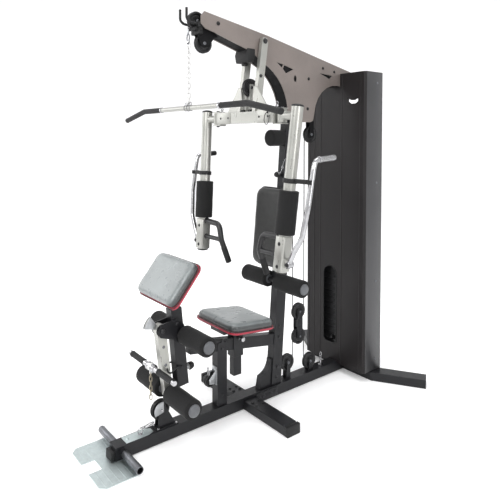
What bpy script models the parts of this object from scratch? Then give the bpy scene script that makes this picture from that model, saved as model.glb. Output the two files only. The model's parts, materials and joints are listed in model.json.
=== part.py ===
"""Multi station home gym: base, upright, boom, weight tower, press arms, seat, leg station.

Metres, +Z up, +X to the machine's right, -Y to its front (the foot plate).
Side views are drawn as (y, z) points measured from the rear foot's front edge, and
every body hangs from the empty "gym", which shifts that datum so that the origin
lies under the middle of the machine.
"""
from math import cos, pi, radians, sin, tan

import bmesh
import bpy
from mathutils import Matrix, Vector

# ---------------------------------------------------------------- driving dimensions
GAP = 0.0004                     # clearance between pieces that touch
FRONT_END = -1.675               # foot plate's front edge
REAR_END = 0.238                 # rear foot's back corners
DATUM_Y = -(FRONT_END + REAR_END) / 2

BEAM_HALF = 0.035                # base beam: half width, underside, top
BEAM_BOTTOM = 0.0045
BEAM_TOP = 0.0645
BEAM_FRONT_Y = -1.545
BEAM_JOINT_Y = -0.650
PEG_Y = -1.511
PEG_Z = 0.037
PEG_RADIUS = 0.0155
PEG_HALF = 0.207

FOOT_HEIGHT = 0.050
MID_FOOT_Y = -0.768
MID_FOOT_DEPTH = 0.084
MID_FOOT_HALF = 0.382
REAR_FOOT_DEPTH = 0.080

UPRIGHT_HALF = 0.025
UPRIGHT_DEPTH = 0.070
UPRIGHT_FOOT_Y = -0.602          # front face where it meets the beam
UPRIGHT_LEAN = tan(radians(4.2))
UPRIGHT_TOP = 1.5745

BOOM_HALF = 0.0468               # outer faces of the side plates
PLATE_THICK = 0.005
CORE_HALF = 0.0414
NECK_ARC_FRONT = (-0.800, 1.600, 0.300)   # centre y, centre z, radius
NECK_ARC_REAR = (-0.100, 1.600, 0.190)

PULLEY_RADIUS = 0.048
PULLEY_GROOVE = 0.0430
PULLEY_HALF = 0.011
PULLEY_BORE = 0.0045
AXLE_RADIUS = 0.0041
CHEEK_INNER = 0.0135
CHEEK_OUTER = 0.0170
CABLE_RADIUS = 0.0025
RUN_RADIUS = PULLEY_GROOVE + CABLE_RADIUS + 0.0002   # a cable's centre line on a pulley

TIP_PULLEY = (-1.044, 1.945)     # (y, z) of the pulley axles
TOP_PULLEY = (-1.085, 2.050)
YOKE_PULLEY = (-0.740, 1.742)
SHOULDER_PULLEY = (-0.280, 1.491)
FLOAT_Y = -0.372
FLOAT_UPPER_Z = 0.441
FLOAT_LOWER_Z = 0.292
BASE_FRONT_PULLEY = (FLOAT_Y - 2 * RUN_RADIUS, 0.157)
BASE_REAR_PULLEY = (FLOAT_Y + 2 * RUN_RADIUS, 0.118)
LOW_PULLEY = (-1.300, 0.153)
TOWER_PULLEY_Z = 1.800
CABLE_ANCHOR_Z = 1.250

SHROUD_HALF = 0.242
SHROUD_FRONT = -0.063
SHROUD_BACK = 0.097
SHROUD_BOTTOM = 0.0504
SHROUD_TOP = 1.865
SHEET = 0.003
SLOT_X = (-0.083, 0.025)
SLOT_Z = (0.170, 0.660)

ROD_X = 0.085
ROD_Y = 0.035
ROD_RADIUS = 0.010
TOWER_PULLEY = (ROD_Y - RUN_RADIUS, TOWER_PULLEY_Z)
STACK_HALF = 0.130
STACK_FRONT = -0.020
STACK_BACK = 0.080
STACK_PITCH = 0.0385
RESTING_COUNT = 2
LIFTING_COUNT = 12
STACK_BOTTOM = 0.100
PIN_X = -0.029
PIN_RADIUS = 0.005

PRESS_PIVOT = (-0.697, 1.988)
YOKE_BAR_X = (0.052, 0.078)
CROSS_Y = -0.755
CROSS_Z = 1.580
CROSS_HALF = 0.250
FLY_X = 0.278
ARM_RADIUS = 0.030
ARM_TOP = Vector((0.388, -0.755, 1.625))
ARM_BOTTOM = Vector((0.344, -0.823, 0.810))
LEVER_PIVOT = Vector((0.398, -0.818, 0.862))
LEVER_RADIUS = 0.0125

LAT_Y = TOP_PULLEY[0] - RUN_RADIUS
LAT_BAR_Z = 1.618
LAT_STRAIGHT = 0.470
LAT_TIP = 0.690
LAT_DROP = 0.045
LAT_RADIUS = 0.014
CHAIN_TOP = 1.985

ROLLER_RADIUS = 0.047
ROLLER_BAR_RADIUS = 0.0125
ROLLER_INNER_X = 0.036
LUMBAR_ROLLER = (-0.566, 0.659)
UPPER_ROLLER = (-1.179, 0.501)
LOWER_ROLLER = (-1.261, 0.232)
ROLLER_HALF = 0.2535

SEAT_TOP_FRONT = (-0.985, 0.537)
SEAT_TOP_BACK = (-0.683, 0.502)
SEAT_HALF_FRONT = 0.180
SEAT_HALF_BACK = 0.164
SEAT_THICK = 0.055
LEG_PIVOT = (-1.299, 0.545)
POST_FOOT = (-1.181, 0.244)
POST_HEAD = (-1.221, 0.636)
PREACHER_LOW = (-1.351, 0.709)
PREACHER_HIGH = (-1.201, 0.893)
CURL_BAR = (-1.345, 0.372)

COLOURS = {                      # colour, metallic, roughness
    "frame_black": ((0.045, 0.045, 0.05), 0.3, 0.45),
    "boom_grey": ((0.30, 0.27, 0.25), 0.5, 0.4),
    "arm_silver": ((0.55, 0.54, 0.50), 0.6, 0.35),
    "chrome": ((0.8, 0.8, 0.8), 1.0, 0.15),
    "foam": ((0.02, 0.02, 0.02), 0.0, 0.9),
    "vinyl": ((0.06, 0.065, 0.065), 0.0, 0.5),
    "shroud": ((0.03, 0.026, 0.027), 0.2, 0.45),
    "sheet_zinc": ((0.45, 0.52, 0.52), 0.7, 0.4),
    "iron": ((0.02, 0.02, 0.02), 0.2, 0.6),
    "pulley_black": ((0.015, 0.015, 0.015), 0.0, 0.4),
    "cable": ((0.02, 0.02, 0.02), 0.0, 0.35),
}


# ---------------------------------------------------------------- modelling helpers
def clear_scene():
    for item in list(bpy.context.scene.objects):
        bpy.data.objects.remove(item, do_unlink=True)


def material(name):
    found = bpy.data.materials.get(name)
    if found:
        return found
    colour, metallic, roughness = COLOURS[name]
    made = bpy.data.materials.new(name)
    made.use_nodes = True
    shader = made.node_tree.nodes["Principled BSDF"]
    shader.inputs["Base Color"].default_value = (*colour, 1)
    shader.inputs["Metallic"].default_value = metallic
    shader.inputs["Roughness"].default_value = roughness
    return made


def to_mesh(bm):
    """A mesh from the bmesh, with its faces turned outwards."""
    bmesh.ops.recalc_face_normals(bm, faces=bm.faces)
    mesh = bpy.data.meshes.new("solid")
    bm.to_mesh(mesh)
    bm.free()
    return mesh


def prism(outline, place, low, high):
    """Extrude a flat outline; place(a, b, c) turns its two axes and the depth into x, y, z."""
    bm = bmesh.new()
    base = bm.faces.new([bm.verts.new(place(a, b, low)) for a, b in outline])
    grown = bmesh.ops.extrude_face_region(bm, geom=[base])
    shift = Vector(place(0, 0, high)) - Vector(place(0, 0, low))
    moved = [item for item in grown["geom"] if isinstance(item, bmesh.types.BMVert)]
    bmesh.ops.translate(bm, verts=moved, vec=shift)
    return to_mesh(bm)


def side_prism(outline, x_low, x_high):
    """A side view of (y, z) points, extruded across the machine."""
    return prism(outline, lambda y, z, x: (x, y, z), x_low, x_high)


def plan_prism(outline, z_low, z_high):
    return prism(outline, lambda x, y, z: (x, y, z), z_low, z_high)


def front_prism(outline, y_low, y_high):
    return prism(outline, lambda x, z, y: (x, y, z), y_low, y_high)


def block(x_range, y_range, z_range):
    (x0, x1), (y0, y1) = x_range, y_range
    return plan_prism([(x0, y0), (x1, y0), (x1, y1), (x0, y1)], *z_range)


def turned(profile, start, axis, sides=20):
    """Spin a closed profile of (distance along the axis, radius) points about that axis."""
    direction = Vector(axis).normalized()
    bm = bmesh.new()
    frame = direction.to_track_quat("Z", "X").to_matrix().to_4x4()
    frame.translation = Vector(start)
    verts = [bm.verts.new(frame @ Vector((radius, 0, along))) for along, radius in profile]
    edges = [bm.edges.new(pair) for pair in zip(verts, verts[1:])]
    if min(radius for _, radius in profile) > 0:
        edges.append(bm.edges.new((verts[-1], verts[0])))
    bmesh.ops.spin(bm, geom=verts + edges, cent=frame.translation, axis=direction,
                   angle=2 * pi, steps=sides, use_merge=True)
    bmesh.ops.remove_doubles(bm, verts=bm.verts, dist=0.00002)
    return to_mesh(bm)


def rod(start, end, radius, sides=16):
    length = (Vector(end) - Vector(start)).length
    profile = [(0, 0), (0, radius), (length, radius), (length, 0)]
    return turned(profile, start, Vector(end) - Vector(start), sides)


def sleeve(start, end, radius, bore, sides=20, round_edge=0.004):
    """A thick tube with softly broken outer edges, such as a foam roll."""
    length = (Vector(end) - Vector(start)).length
    profile = [(0, bore), (0, radius - round_edge), (round_edge, radius),
               (length - round_edge, radius), (length, radius - round_edge), (length, bore)]
    return turned(profile, start, Vector(end) - Vector(start), sides)


def filleted(points, radius, steps=4):
    """The points of a path, with each inner corner rounded by an arc."""
    corners = [Vector(point) for point in points]
    path = [corners[0]]
    for before, corner, after in zip(corners, corners[1:], corners[2:]):
        to_before = (before - corner).normalized()
        to_after = (after - corner).normalized()
        half = to_before.angle(to_after) / 2
        reach = min(radius / tan(half), (before - corner).length / 2, (after - corner).length / 2)
        centre = corner + (to_before + to_after).normalized() * (reach / cos(half))
        first = corner + to_before * reach - centre
        last = corner + to_after * reach - centre
        sweep = first.angle(last)
        for step in range(steps + 1):
            part = sweep * step / steps
            path.append(centre + (first * sin(sweep - part) + last * sin(part)) / sin(sweep))
    path.append(corners[-1])
    return path


def bent_rod(points, radius, fillet=0.03, resolution=4):
    """A round bar along a path; a fillet above zero rounds the path's corners."""
    curve = bpy.data.curves.new("path", "CURVE")
    curve.dimensions = "3D"
    spline = curve.splines.new("POLY")
    path = filleted(points, fillet) if fillet else [Vector(point) for point in points]
    spline.points.add(len(path) - 1)
    for point, place in zip(spline.points, path):
        point.co = (*place, 1)
    curve.bevel_depth = radius
    curve.bevel_resolution = resolution
    curve.use_fill_caps = True
    guide = bpy.data.objects.new("path", curve)
    bpy.context.scene.collection.objects.link(guide)
    bpy.context.view_layer.update()
    evaluated = guide.evaluated_get(bpy.context.evaluated_depsgraph_get())
    bm = bmesh.new()
    bm.from_mesh(evaluated.to_mesh())
    evaluated.to_mesh_clear()
    bpy.data.objects.remove(guide)
    bmesh.ops.remove_doubles(bm, verts=bm.verts, dist=0.00002)
    return to_mesh(bm)


def combine(base, others, operation):
    """One mesh from a base and other meshes, by exact Boolean steps."""
    working = bpy.data.objects.new("working", base)
    bpy.context.scene.collection.objects.link(working)
    tools = []
    for mesh in others:
        tool = bpy.data.objects.new("tool", mesh)
        bpy.context.scene.collection.objects.link(tool)
        step = working.modifiers.new("step", "BOOLEAN")
        step.object = tool
        step.operation = operation
        step.solver = "EXACT"
        tools.append(tool)
    bpy.context.view_layer.update()
    evaluated = working.evaluated_get(bpy.context.evaluated_depsgraph_get())
    result = bpy.data.meshes.new_from_object(evaluated)
    for item in [working, *tools]:
        bpy.data.objects.remove(item)
    return result


def fused(*meshes):
    return combine(meshes[0], meshes[1:], "UNION")


def cut(base, *meshes):
    return combine(base, meshes, "DIFFERENCE")


def mirrored(mesh):
    """A copy of the mesh on the other side of the machine's middle plane."""
    copy = mesh.copy()
    copy.transform(Matrix.Scale(-1, 4, (1, 0, 0)))
    copy.flip_normals()
    return copy


def make_body(name, pivot=(0, 0, 0), parent=None):
    """An empty on a body's joint; pivot is in datum coordinates."""
    empty = bpy.data.objects.new(name, None)
    empty.empty_display_size = 0.1
    bpy.context.scene.collection.objects.link(empty)
    empty.parent = parent
    empty["pivot"] = pivot
    base = Vector(parent["pivot"]) if parent else Vector((0, -DATUM_Y, 0))
    empty.location = Vector(pivot) - base
    return empty


def add(name, mesh, colour, body, bevel=0.0):
    """A named piece on a body; its mesh is in datum coordinates."""
    mesh.materials.clear()
    mesh.materials.append(material(colour))
    mesh.shade_smooth()
    mesh.set_sharp_from_angle(angle=radians(35))
    piece = bpy.data.objects.new(name, mesh)
    bpy.context.scene.collection.objects.link(piece)
    piece.parent = body
    piece.location = -Vector(body["pivot"])
    if bevel:
        step = piece.modifiers.new("edges", "BEVEL")
        step.width = bevel
        step.segments = 1
        step.limit_method = "ANGLE"
        step.angle_limit = radians(50)
    return piece


def arc(centre_y, centre_z, radius, start, end, steps=8):
    """Points along an arc, in degrees from +Y towards +Z."""
    angles = [radians(start + (end - start) * step / steps) for step in range(steps + 1)]
    return [(centre_y + radius * cos(a), centre_z + radius * sin(a)) for a in angles]


def pulley(centre):
    """A grooved wheel with a bore, its axle along X."""
    y, z = centre
    profile = [(-PULLEY_HALF, PULLEY_BORE), (-PULLEY_HALF, PULLEY_RADIUS),
               (-0.0085, PULLEY_RADIUS), (-0.0034, PULLEY_GROOVE), (0.0034, PULLEY_GROOVE),
               (0.0085, PULLEY_RADIUS), (PULLEY_HALF, PULLEY_RADIUS), (PULLEY_HALF, PULLEY_BORE)]
    return turned(profile, (0, y, z), (1, 0, 0), 20)


def cheeks(outline, centres):
    """Two side plates over an outline, with the axles between them."""
    plates = [side_prism(outline, side * CHEEK_INNER, side * CHEEK_OUTER) for side in (-1, 1)]
    axles = [rod((-CHEEK_OUTER, y, z), (CHEEK_OUTER, y, z), AXLE_RADIUS, 10) for y, z in centres]
    return plates + axles


def upright_face(z):
    """Y of the main upright's front face at a height."""
    return UPRIGHT_FOOT_Y + (z - BEAM_TOP) * UPRIGHT_LEAN


def rounded_outline(half_a, half_b, radius, steps=4):
    """A rectangle about its middle with round corners."""
    points = []
    for turn, (sa, sb) in enumerate([(1, 1), (-1, 1), (-1, -1), (1, -1)]):
        points += arc(sa * (half_a - radius), sb * (half_b - radius), radius,
                      90 * turn, 90 * turn + 90, steps)
    return points


# ---------------------------------------------------------------- base
def build_base(frame):
    notch_half, notch_deep, corner = 0.0425, 0.062, 0.025
    plate_half, plate_back = 0.180, -1.505
    plate = [(-plate_half, plate_back), (-plate_half, FRONT_END + corner),
             (-plate_half + corner, FRONT_END), (-notch_half, FRONT_END),
             (-notch_half, FRONT_END + notch_deep), (notch_half, FRONT_END + notch_deep),
             (notch_half, FRONT_END), (plate_half - corner, FRONT_END),
             (plate_half, FRONT_END + corner), (plate_half, plate_back)]
    add("foot_plate", plan_prism(plate, 0, 0.004), "sheet_zinc", frame)

    notch = MID_FOOT_DEPTH / 2 + GAP
    front_beam = [(BEAM_FRONT_Y, BEAM_BOTTOM), (MID_FOOT_Y - notch, BEAM_BOTTOM),
                  (MID_FOOT_Y - notch, FOOT_HEIGHT + GAP), (MID_FOOT_Y + notch, FOOT_HEIGHT + GAP),
                  (MID_FOOT_Y + notch, BEAM_BOTTOM), (BEAM_JOINT_Y - GAP, BEAM_BOTTOM),
                  (BEAM_JOINT_Y - GAP, BEAM_TOP), (BEAM_FRONT_Y, BEAM_TOP)]
    beam = side_prism(front_beam, -BEAM_HALF, BEAM_HALF)
    wall, recess = 0.0025, 0.05
    peg_length = PEG_HALF - BEAM_HALF + 0.01
    peg_profile = [(0, 0), (0, PEG_RADIUS), (peg_length, PEG_RADIUS),
                   (peg_length, PEG_RADIUS - wall), (peg_length - recess, PEG_RADIUS - wall),
                   (peg_length - recess, 0)]
    pegs = [turned(peg_profile, (side * (BEAM_HALF - 0.01), PEG_Y, PEG_Z), (side, 0, 0), 16)
            for side in (-1, 1)]
    add("beam_front", fused(beam, *pegs), "frame_black", frame)

    step_y = SHROUD_FRONT - 0.002
    rear_beam = side_prism([(BEAM_JOINT_Y, BEAM_BOTTOM), (-GAP, BEAM_BOTTOM),
                            (-GAP, FOOT_HEIGHT - 0.001), (step_y, FOOT_HEIGHT - 0.001),
                            (step_y, BEAM_TOP), (BEAM_JOINT_Y, BEAM_TOP)], -BEAM_HALF, BEAM_HALF)
    holders = []
    for y, z in (BASE_FRONT_PULLEY, BASE_REAR_PULLEY):
        holders += cheeks([(y - 0.016, 0.06), (y + 0.016, 0.06), (y + 0.012, z + 0.016),
                           (y - 0.012, z + 0.016)], [(y, z)])
    add("beam_rear", fused(rear_beam, *holders), "frame_black", frame)

    half, slope = MID_FOOT_HALF, 0.030
    side_view = [(-half, 0), (half, 0), (half, 0.018), (half - slope, FOOT_HEIGHT),
                 (-half + slope, FOOT_HEIGHT), (-half, 0.018)]
    foot = front_prism(side_view, MID_FOOT_Y - MID_FOOT_DEPTH / 2, MID_FOOT_Y + MID_FOOT_DEPTH / 2)
    add("mid_foot", foot, "frame_black", frame, 0.003)

    inner_front, tip_front = Vector((0.250, 0)), Vector((0.519, 0.166))
    across = Vector((-(tip_front - inner_front).y, (tip_front - inner_front).x)).normalized()
    tip_back = tip_front + across * 0.085
    tip_back.y = REAR_END
    right = [tip_front, tip_back, Vector((0.218, REAR_FOOT_DEPTH))]
    outline = [(-inner_front.x, 0), (inner_front.x, 0), *[tuple(p) for p in right],
               *[(-p.x, p.y) for p in reversed(right)]]
    add("rear_foot", plan_prism(outline, 0, FOOT_HEIGHT), "frame_black", frame)


def build_upright(frame):
    foot, head = BEAM_TOP + GAP, UPRIGHT_TOP
    column = side_prism([(upright_face(foot), foot), (upright_face(foot) + UPRIGHT_DEPTH, foot),
                         (upright_face(head) + UPRIGHT_DEPTH, head), (upright_face(head), head)],
                        -UPRIGHT_HALF, UPRIGHT_HALF)
    base_y = upright_face(foot)
    gusset = side_prism([(base_y - 0.085, foot), (base_y + 0.01, foot), (base_y + 0.02, 0.215),
                         *arc(base_y - 0.085, 0.215, 0.085, 0, -80, 6)], -0.018, 0.018)
    y, z = LUMBAR_ROLLER
    cross_bar = rod((-ROLLER_HALF, y, z), (ROLLER_HALF, y, z), ROLLER_BAR_RADIUS)
    anchor_y = FLOAT_Y - RUN_RADIUS
    back = upright_face(CABLE_ANCHOR_Z) + UPRIGHT_DEPTH
    anchor = block((-0.012, 0.012), (back - 0.01, anchor_y + 0.008),
                   (CABLE_ANCHOR_Z, CABLE_ANCHOR_Z + 0.02))
    rests = [block((-0.04, 0.04), (upright_face(level) - 0.006, upright_face(level) + 0.012),
                   (level - 0.03, level + 0.03)) for level in (0.86, 1.10)]
    add("main_upright", fused(column, gusset, cross_bar, anchor, *rests), "frame_black", frame)

    add_rollers("lumbar_roller", LUMBAR_ROLLER, frame)
    level = 1.470
    nose = rod((0, -0.504, level), (0, -0.600, level), 0.046, 20)
    add("back_buffer", nose, "foam", frame, 0.006)

    pad = prism(rounded_outline(0.145, 0.225, 0.05), lambda a, b, d: (a, d, b), -0.025, 0.025)
    pad.transform(Matrix.Rotation(radians(-5.5), 4, "X"))
    pad.transform(Matrix.Translation((0, -0.578, 0.965)))
    add("backrest_pad", pad, "vinyl", frame)


def add_rollers(name, centre, body):
    """Foam rolls on a cross bar, left and right."""
    y, z = centre
    for side, word in ((-1, "left"), (1, "right")):
        start = (side * ROLLER_INNER_X, y, z)
        end = (side * ROLLER_HALF, y, z)
        roll = sleeve(start, end, ROLLER_RADIUS, ROLLER_BAR_RADIUS + GAP)
        add(f"{name}_{word}", roll, "foam", body)


# ---------------------------------------------------------------- boom
def boom_outline():
    """Side view of a boom plate: tip, top edge, tower end, neck and the arc under the boom."""
    cy, cz, radius = NECK_ARC_FRONT
    ry, rz, rear_radius = NECK_ARC_REAR
    return [(-1.006, 1.999), (-1.060, 2.012), (-1.086, 2.035), (-1.086, 2.072), (-1.066, 2.0945),
            (-0.653, 2.024), (0.045, 1.8775), (0.045, SHROUD_TOP + 0.0012),
            (SHROUD_FRONT - 0.001, SHROUD_TOP + 0.0012), (SHROUD_FRONT - 0.001, 1.787),
            *arc(ry, rz, rear_radius, 88, 175, 6), (-0.300, 1.572), (-0.322, 1.562), (-0.470, 1.562),
            (-0.496, 1.575), *arc(cy, cz, radius, 0, 68, 8), (-0.760, 1.926)]


def build_boom(frame):
    py, pz = PRESS_PIVOT
    pivot_hole = rod((-0.06, py, pz), (0.06, py, pz), 0.0086)
    outline = boom_outline()
    holes = [(-0.982, 2.047, 0.007), (-0.338, 1.815, 0.006), (-0.218, 1.886, 0.006),
             (-0.119, 1.872, 0.005), (-0.400, 1.600, 0.006), (-0.345, 1.640, 0.006)]
    slots = [[(-0.586, 1.889), (-0.539, 1.880), (-0.549, 1.861)],
             [(-0.530, 1.878), (-0.461, 1.860), (-0.517, 1.832), (-0.541, 1.856)],
             [(-0.250, 1.856), (-0.140, 1.846), (-0.160, 1.826)]]
    for side, word in ((-1, "left"), (1, "right")):
        inner, outer = side * (BOOM_HALF - PLATE_THICK), side * BOOM_HALF
        plate = side_prism(outline, min(inner, outer), max(inner, outer))
        cutters = [rod((inner - side * 0.01, y, z), (outer + side * 0.01, y, z), radius, 12)
                   for y, z, radius in holes]
        cutters += [side_prism(points, min(inner, outer) - 0.01, max(inner, outer) + 0.01)
                    for points in slots]
        oval = rod((inner - side * 0.01, 0, 0), (outer + side * 0.01, 0, 0), 0.011, 12)
        oval.transform(Matrix.Translation((0, -0.445, 1.808)) @ Matrix.Diagonal((1, 1, 1.7, 1)))
        add(f"boom_plate_{word}", cut(plate, *cutters, oval, pivot_hole.copy()), "boom_grey", frame)

    cy, cz, radius = NECK_ARC_FRONT
    inset = radius + 0.003
    core_outline = [(-0.985, 1.9965), (-0.985, 2.0765), (-0.653, 2.0205), (0.040, 1.8745),
                    (0.040, SHROUD_TOP + 0.0012), (-0.066, SHROUD_TOP + 0.0012), (-0.066, 1.810),
                    (-0.200, 1.760), (-0.325, 1.640), (-0.325, UPRIGHT_TOP + GAP),
                    (-0.494, UPRIGHT_TOP + GAP), *arc(cy, cz, inset, 0, 68, 8), (-0.757, 1.929)]
    core = side_prism(core_outline, -CORE_HALF, CORE_HALF)
    tip = cheeks([(-0.960, 2.060), (-1.099, 2.068), (-1.099, 2.035), (-1.066, 1.930),
                  (-1.024, 1.927), (-0.960, 2.010)], [TIP_PULLEY, TOP_PULLEY])
    well = block((-CHEEK_INNER, CHEEK_INNER), (-1.0, -0.957), (1.95, 2.12))
    sy, sz = SHOULDER_PULLEY
    strap = cheeks([(sy - 0.022, 1.80), (sy + 0.024, 1.80), (sy + 0.015, sz - 0.02),
                    (sy - 0.015, sz - 0.02)], [SHOULDER_PULLEY])
    ty, tz = TOWER_PULLEY
    hanger = cheeks([(ty - 0.020, 1.870), (ty + 0.030, 1.870), (ty + 0.014, tz - 0.016),
                     (ty - 0.014, tz - 0.016)], [TOWER_PULLEY])
    buffer = block((-0.03, 0.03), (-0.800, -0.756), (1.905, 1.960))
    solid = fused(cut(core, well, pivot_hole), *tip, *strap, *hanger, buffer)
    add("boom_core", solid, "frame_black", frame)

    top, cross = (0.030, -1.158, 2.105), (0.030, -1.100, 1.990)
    hook = [top, (0.030, -1.158, 2.030), cross, (-0.030, *cross[1:]),
            (-0.030, -1.158, 2.030), (-0.030, *top[1:])]
    add("bar_hook", bent_rod(hook, 0.004, 0.016, 2), "frame_black", frame)


# ---------------------------------------------------------------- weight tower
def build_tower(frame, stack, pin):
    inner = SHROUD_HALF - SHEET
    section = [(-SHROUD_HALF, SHROUD_BACK), (-SHROUD_HALF, SHROUD_FRONT + 0.012),
               (-SHROUD_HALF + 0.012, SHROUD_FRONT), (SHROUD_HALF - 0.012, SHROUD_FRONT),
               (SHROUD_HALF, SHROUD_FRONT + 0.012), (SHROUD_HALF, SHROUD_BACK),
               (inner, SHROUD_BACK), (inner, SHROUD_FRONT + 0.013),
               (inner - 0.011, SHROUD_FRONT + SHEET), (-inner + 0.011, SHROUD_FRONT + SHEET),
               (-inner, SHROUD_FRONT + 0.013), (-inner, SHROUD_BACK)]
    shell = plan_prism(section, SHROUD_BOTTOM, SHROUD_TOP)
    middle, half = sum(SLOT_X) / 2, (SLOT_X[1] - SLOT_X[0]) / 2
    slot = [(middle - half, SLOT_Z[0] + 0.02), (middle - half + 0.02, SLOT_Z[0]),
            (middle + half - 0.02, SLOT_Z[0]), (middle + half, SLOT_Z[0] + 0.02),
            *arc(middle, SLOT_Z[1] - half, half, 0, 180, 8)]
    window = [(0.115, 1.690), (0.135, 1.676), (0.170, 1.676), (0.190, 1.690), (0.190, 1.712),
              (0.165, 1.700), (0.140, 1.700), (0.115, 1.712)]
    shell = cut(shell, front_prism(slot, SHROUD_FRONT - 0.01, SHROUD_FRONT + 0.01),
                front_prism(window, SHROUD_FRONT - 0.01, SHROUD_FRONT + 0.01))
    add("front_shroud", shell, "shroud", frame)
    rim = 0.012
    outline = [(-inner + GAP, SHROUD_BACK - rim), (-inner + GAP, SHROUD_BACK + SHEET),
               (inner - GAP, SHROUD_BACK + SHEET), (inner - GAP, SHROUD_BACK - rim),
               (inner - SHEET, SHROUD_BACK - rim), (inner - SHEET, SHROUD_BACK),
               (-inner + SHEET, SHROUD_BACK), (-inner + SHEET, SHROUD_BACK - rim)]
    back_panel = plan_prism(outline, SHROUD_BOTTOM, SHROUD_TOP)
    lid = block((-inner + GAP, inner - GAP), (SHROUD_FRONT + 0.014, SHROUD_BACK + 0.001),
                (SHROUD_TOP - SHEET, SHROUD_TOP - 0.0005))
    opening = block((-0.030, 0.030), (-0.045, 0.045), (SHROUD_TOP - 0.05, SHROUD_TOP + 0.05))
    add("rear_shroud", cut(fused(back_panel, lid), opening), "shroud", frame)

    rod_top = SHROUD_TOP - 0.02
    for side, word in ((-1, "left"), (1, "right")):
        x = side * ROD_X
        profile = [(0, 0), (0, 0.022), (0.045, 0.022), (0.045, ROD_RADIUS),
                   (rod_top - SHROUD_BOTTOM, ROD_RADIUS), (rod_top - SHROUD_BOTTOM, 0)]
        add(f"guide_rod_{word}", turned(profile, (x, ROD_Y, SHROUD_BOTTOM), (0, 0, 1), 16),
            "chrome", frame)

    rest_top = STACK_BOTTOM + RESTING_COUNT * STACK_PITCH
    lift_top = rest_top + LIFTING_COUNT * STACK_PITCH
    for name, low, count, body in (("resting_plates", STACK_BOTTOM, RESTING_COUNT, frame),
                                   ("lifting_plates", rest_top + GAP, LIFTING_COUNT, stack)):
        plates = add_plates(low, count)
        if body is stack:
            hole_z = low + STACK_PITCH / 2
            hole = rod((PIN_X, STACK_FRONT - 0.01, hole_z), (PIN_X, STACK_FRONT + 0.07, hole_z),
                       PIN_RADIUS + GAP, 12)
            plates = cut(plates, hole)
            shaft = [(0, 0), (0, 0.011), (0.022, 0.013), (0.024, 0.008), (0.030, PIN_RADIUS),
                     (0.092, PIN_RADIUS), (0.095, 0)]
            head = (PIN_X, STACK_FRONT - 0.031, hole_z)
            add("selector_pin", turned(shaft, head, (0, 1, 0), 12), "chrome", pin)
        add(name, plates, "iron", body)
    cable = rod((0, ROD_Y, lift_top + GAP * 2), (0, ROD_Y, TOWER_PULLEY_Z), CABLE_RADIUS, 8)
    add("stack_cable", cable, "cable", stack)


def add_plates(low, count):
    """A block of weight plates, grooved where one plate meets the next, bored for the rods."""
    groove = 0.003
    edge = [(STACK_FRONT, low)]
    for step in range(1, count):
        level = low + step * STACK_PITCH
        edge += [(STACK_FRONT, level - groove), (STACK_FRONT + groove, level),
                 (STACK_FRONT, level + groove)]
    top = low + count * STACK_PITCH - 2 * GAP
    edge += [(STACK_FRONT, top), (STACK_BACK, top), (STACK_BACK, low)]
    stack = side_prism(edge, -STACK_HALF, STACK_HALF)
    bores = [rod((side * ROD_X, ROD_Y, low - 0.01), (side * ROD_X, ROD_Y, top + 0.01),
                 ROD_RADIUS + 0.002, 12) for side in (-1, 1)]
    return cut(stack, *bores)


# ---------------------------------------------------------------- pulleys and cables
def build_pulleys(bodies, float_body, lat):
    for name, centre in PULLEYS.items():
        add(name, pulley(centre), "pulley_black", bodies[name])

    upper, lower = (FLOAT_Y, FLOAT_UPPER_Z), (FLOAT_Y, FLOAT_LOWER_Z)
    plate = [(FLOAT_Y - 0.016, FLOAT_LOWER_Z - 0.014), (FLOAT_Y + 0.016, FLOAT_LOWER_Z - 0.014),
             (FLOAT_Y + 0.022, FLOAT_LOWER_Z + 0.05), (FLOAT_Y + 0.022, FLOAT_UPPER_Z - 0.05),
             (FLOAT_Y + 0.016, FLOAT_UPPER_Z + 0.014), (FLOAT_Y - 0.016, FLOAT_UPPER_Z + 0.014),
             (FLOAT_Y - 0.022, FLOAT_UPPER_Z - 0.05), (FLOAT_Y - 0.022, FLOAT_LOWER_Z + 0.05)]
    middle = (FLOAT_UPPER_Z + FLOAT_LOWER_Z) / 2
    bridge = block((-CHEEK_INNER - 0.001, CHEEK_INNER + 0.001), (FLOAT_Y - 0.015, FLOAT_Y + 0.015),
                   (middle - 0.02, middle + 0.02))
    add("float_bracket", fused(*cheeks(plate, [upper, lower]), bridge), "frame_black", float_body)

    sides = (FLOAT_Y - RUN_RADIUS, FLOAT_Y + RUN_RADIUS)
    upper_turn = arc(FLOAT_Y, FLOAT_UPPER_Z, RUN_RADIUS, 180, 360, 10)
    upper_run = [(sides[0], CABLE_ANCHOR_Z - GAP), *upper_turn, (sides[1], SHOULDER_PULLEY[1])]
    lower_turn = arc(FLOAT_Y, FLOAT_LOWER_Z, RUN_RADIUS, 180, 0, 10)
    lower_run = [(sides[0], BASE_FRONT_PULLEY[1]), *lower_turn, (sides[1], BASE_REAR_PULLEY[1])]
    for name, run in (("upper_cable", upper_run), ("lower_cable", lower_run)):
        path = [(0, y, z) for y, z in run]
        add(name, bent_rod(path, CABLE_RADIUS, 0, 2), "cable", float_body)

    cable = rod((0, LAT_Y, CHAIN_TOP + GAP), (0, LAT_Y, TOP_PULLEY[1]), CABLE_RADIUS, 8)
    add("lat_cable", cable, "cable", lat)


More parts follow.
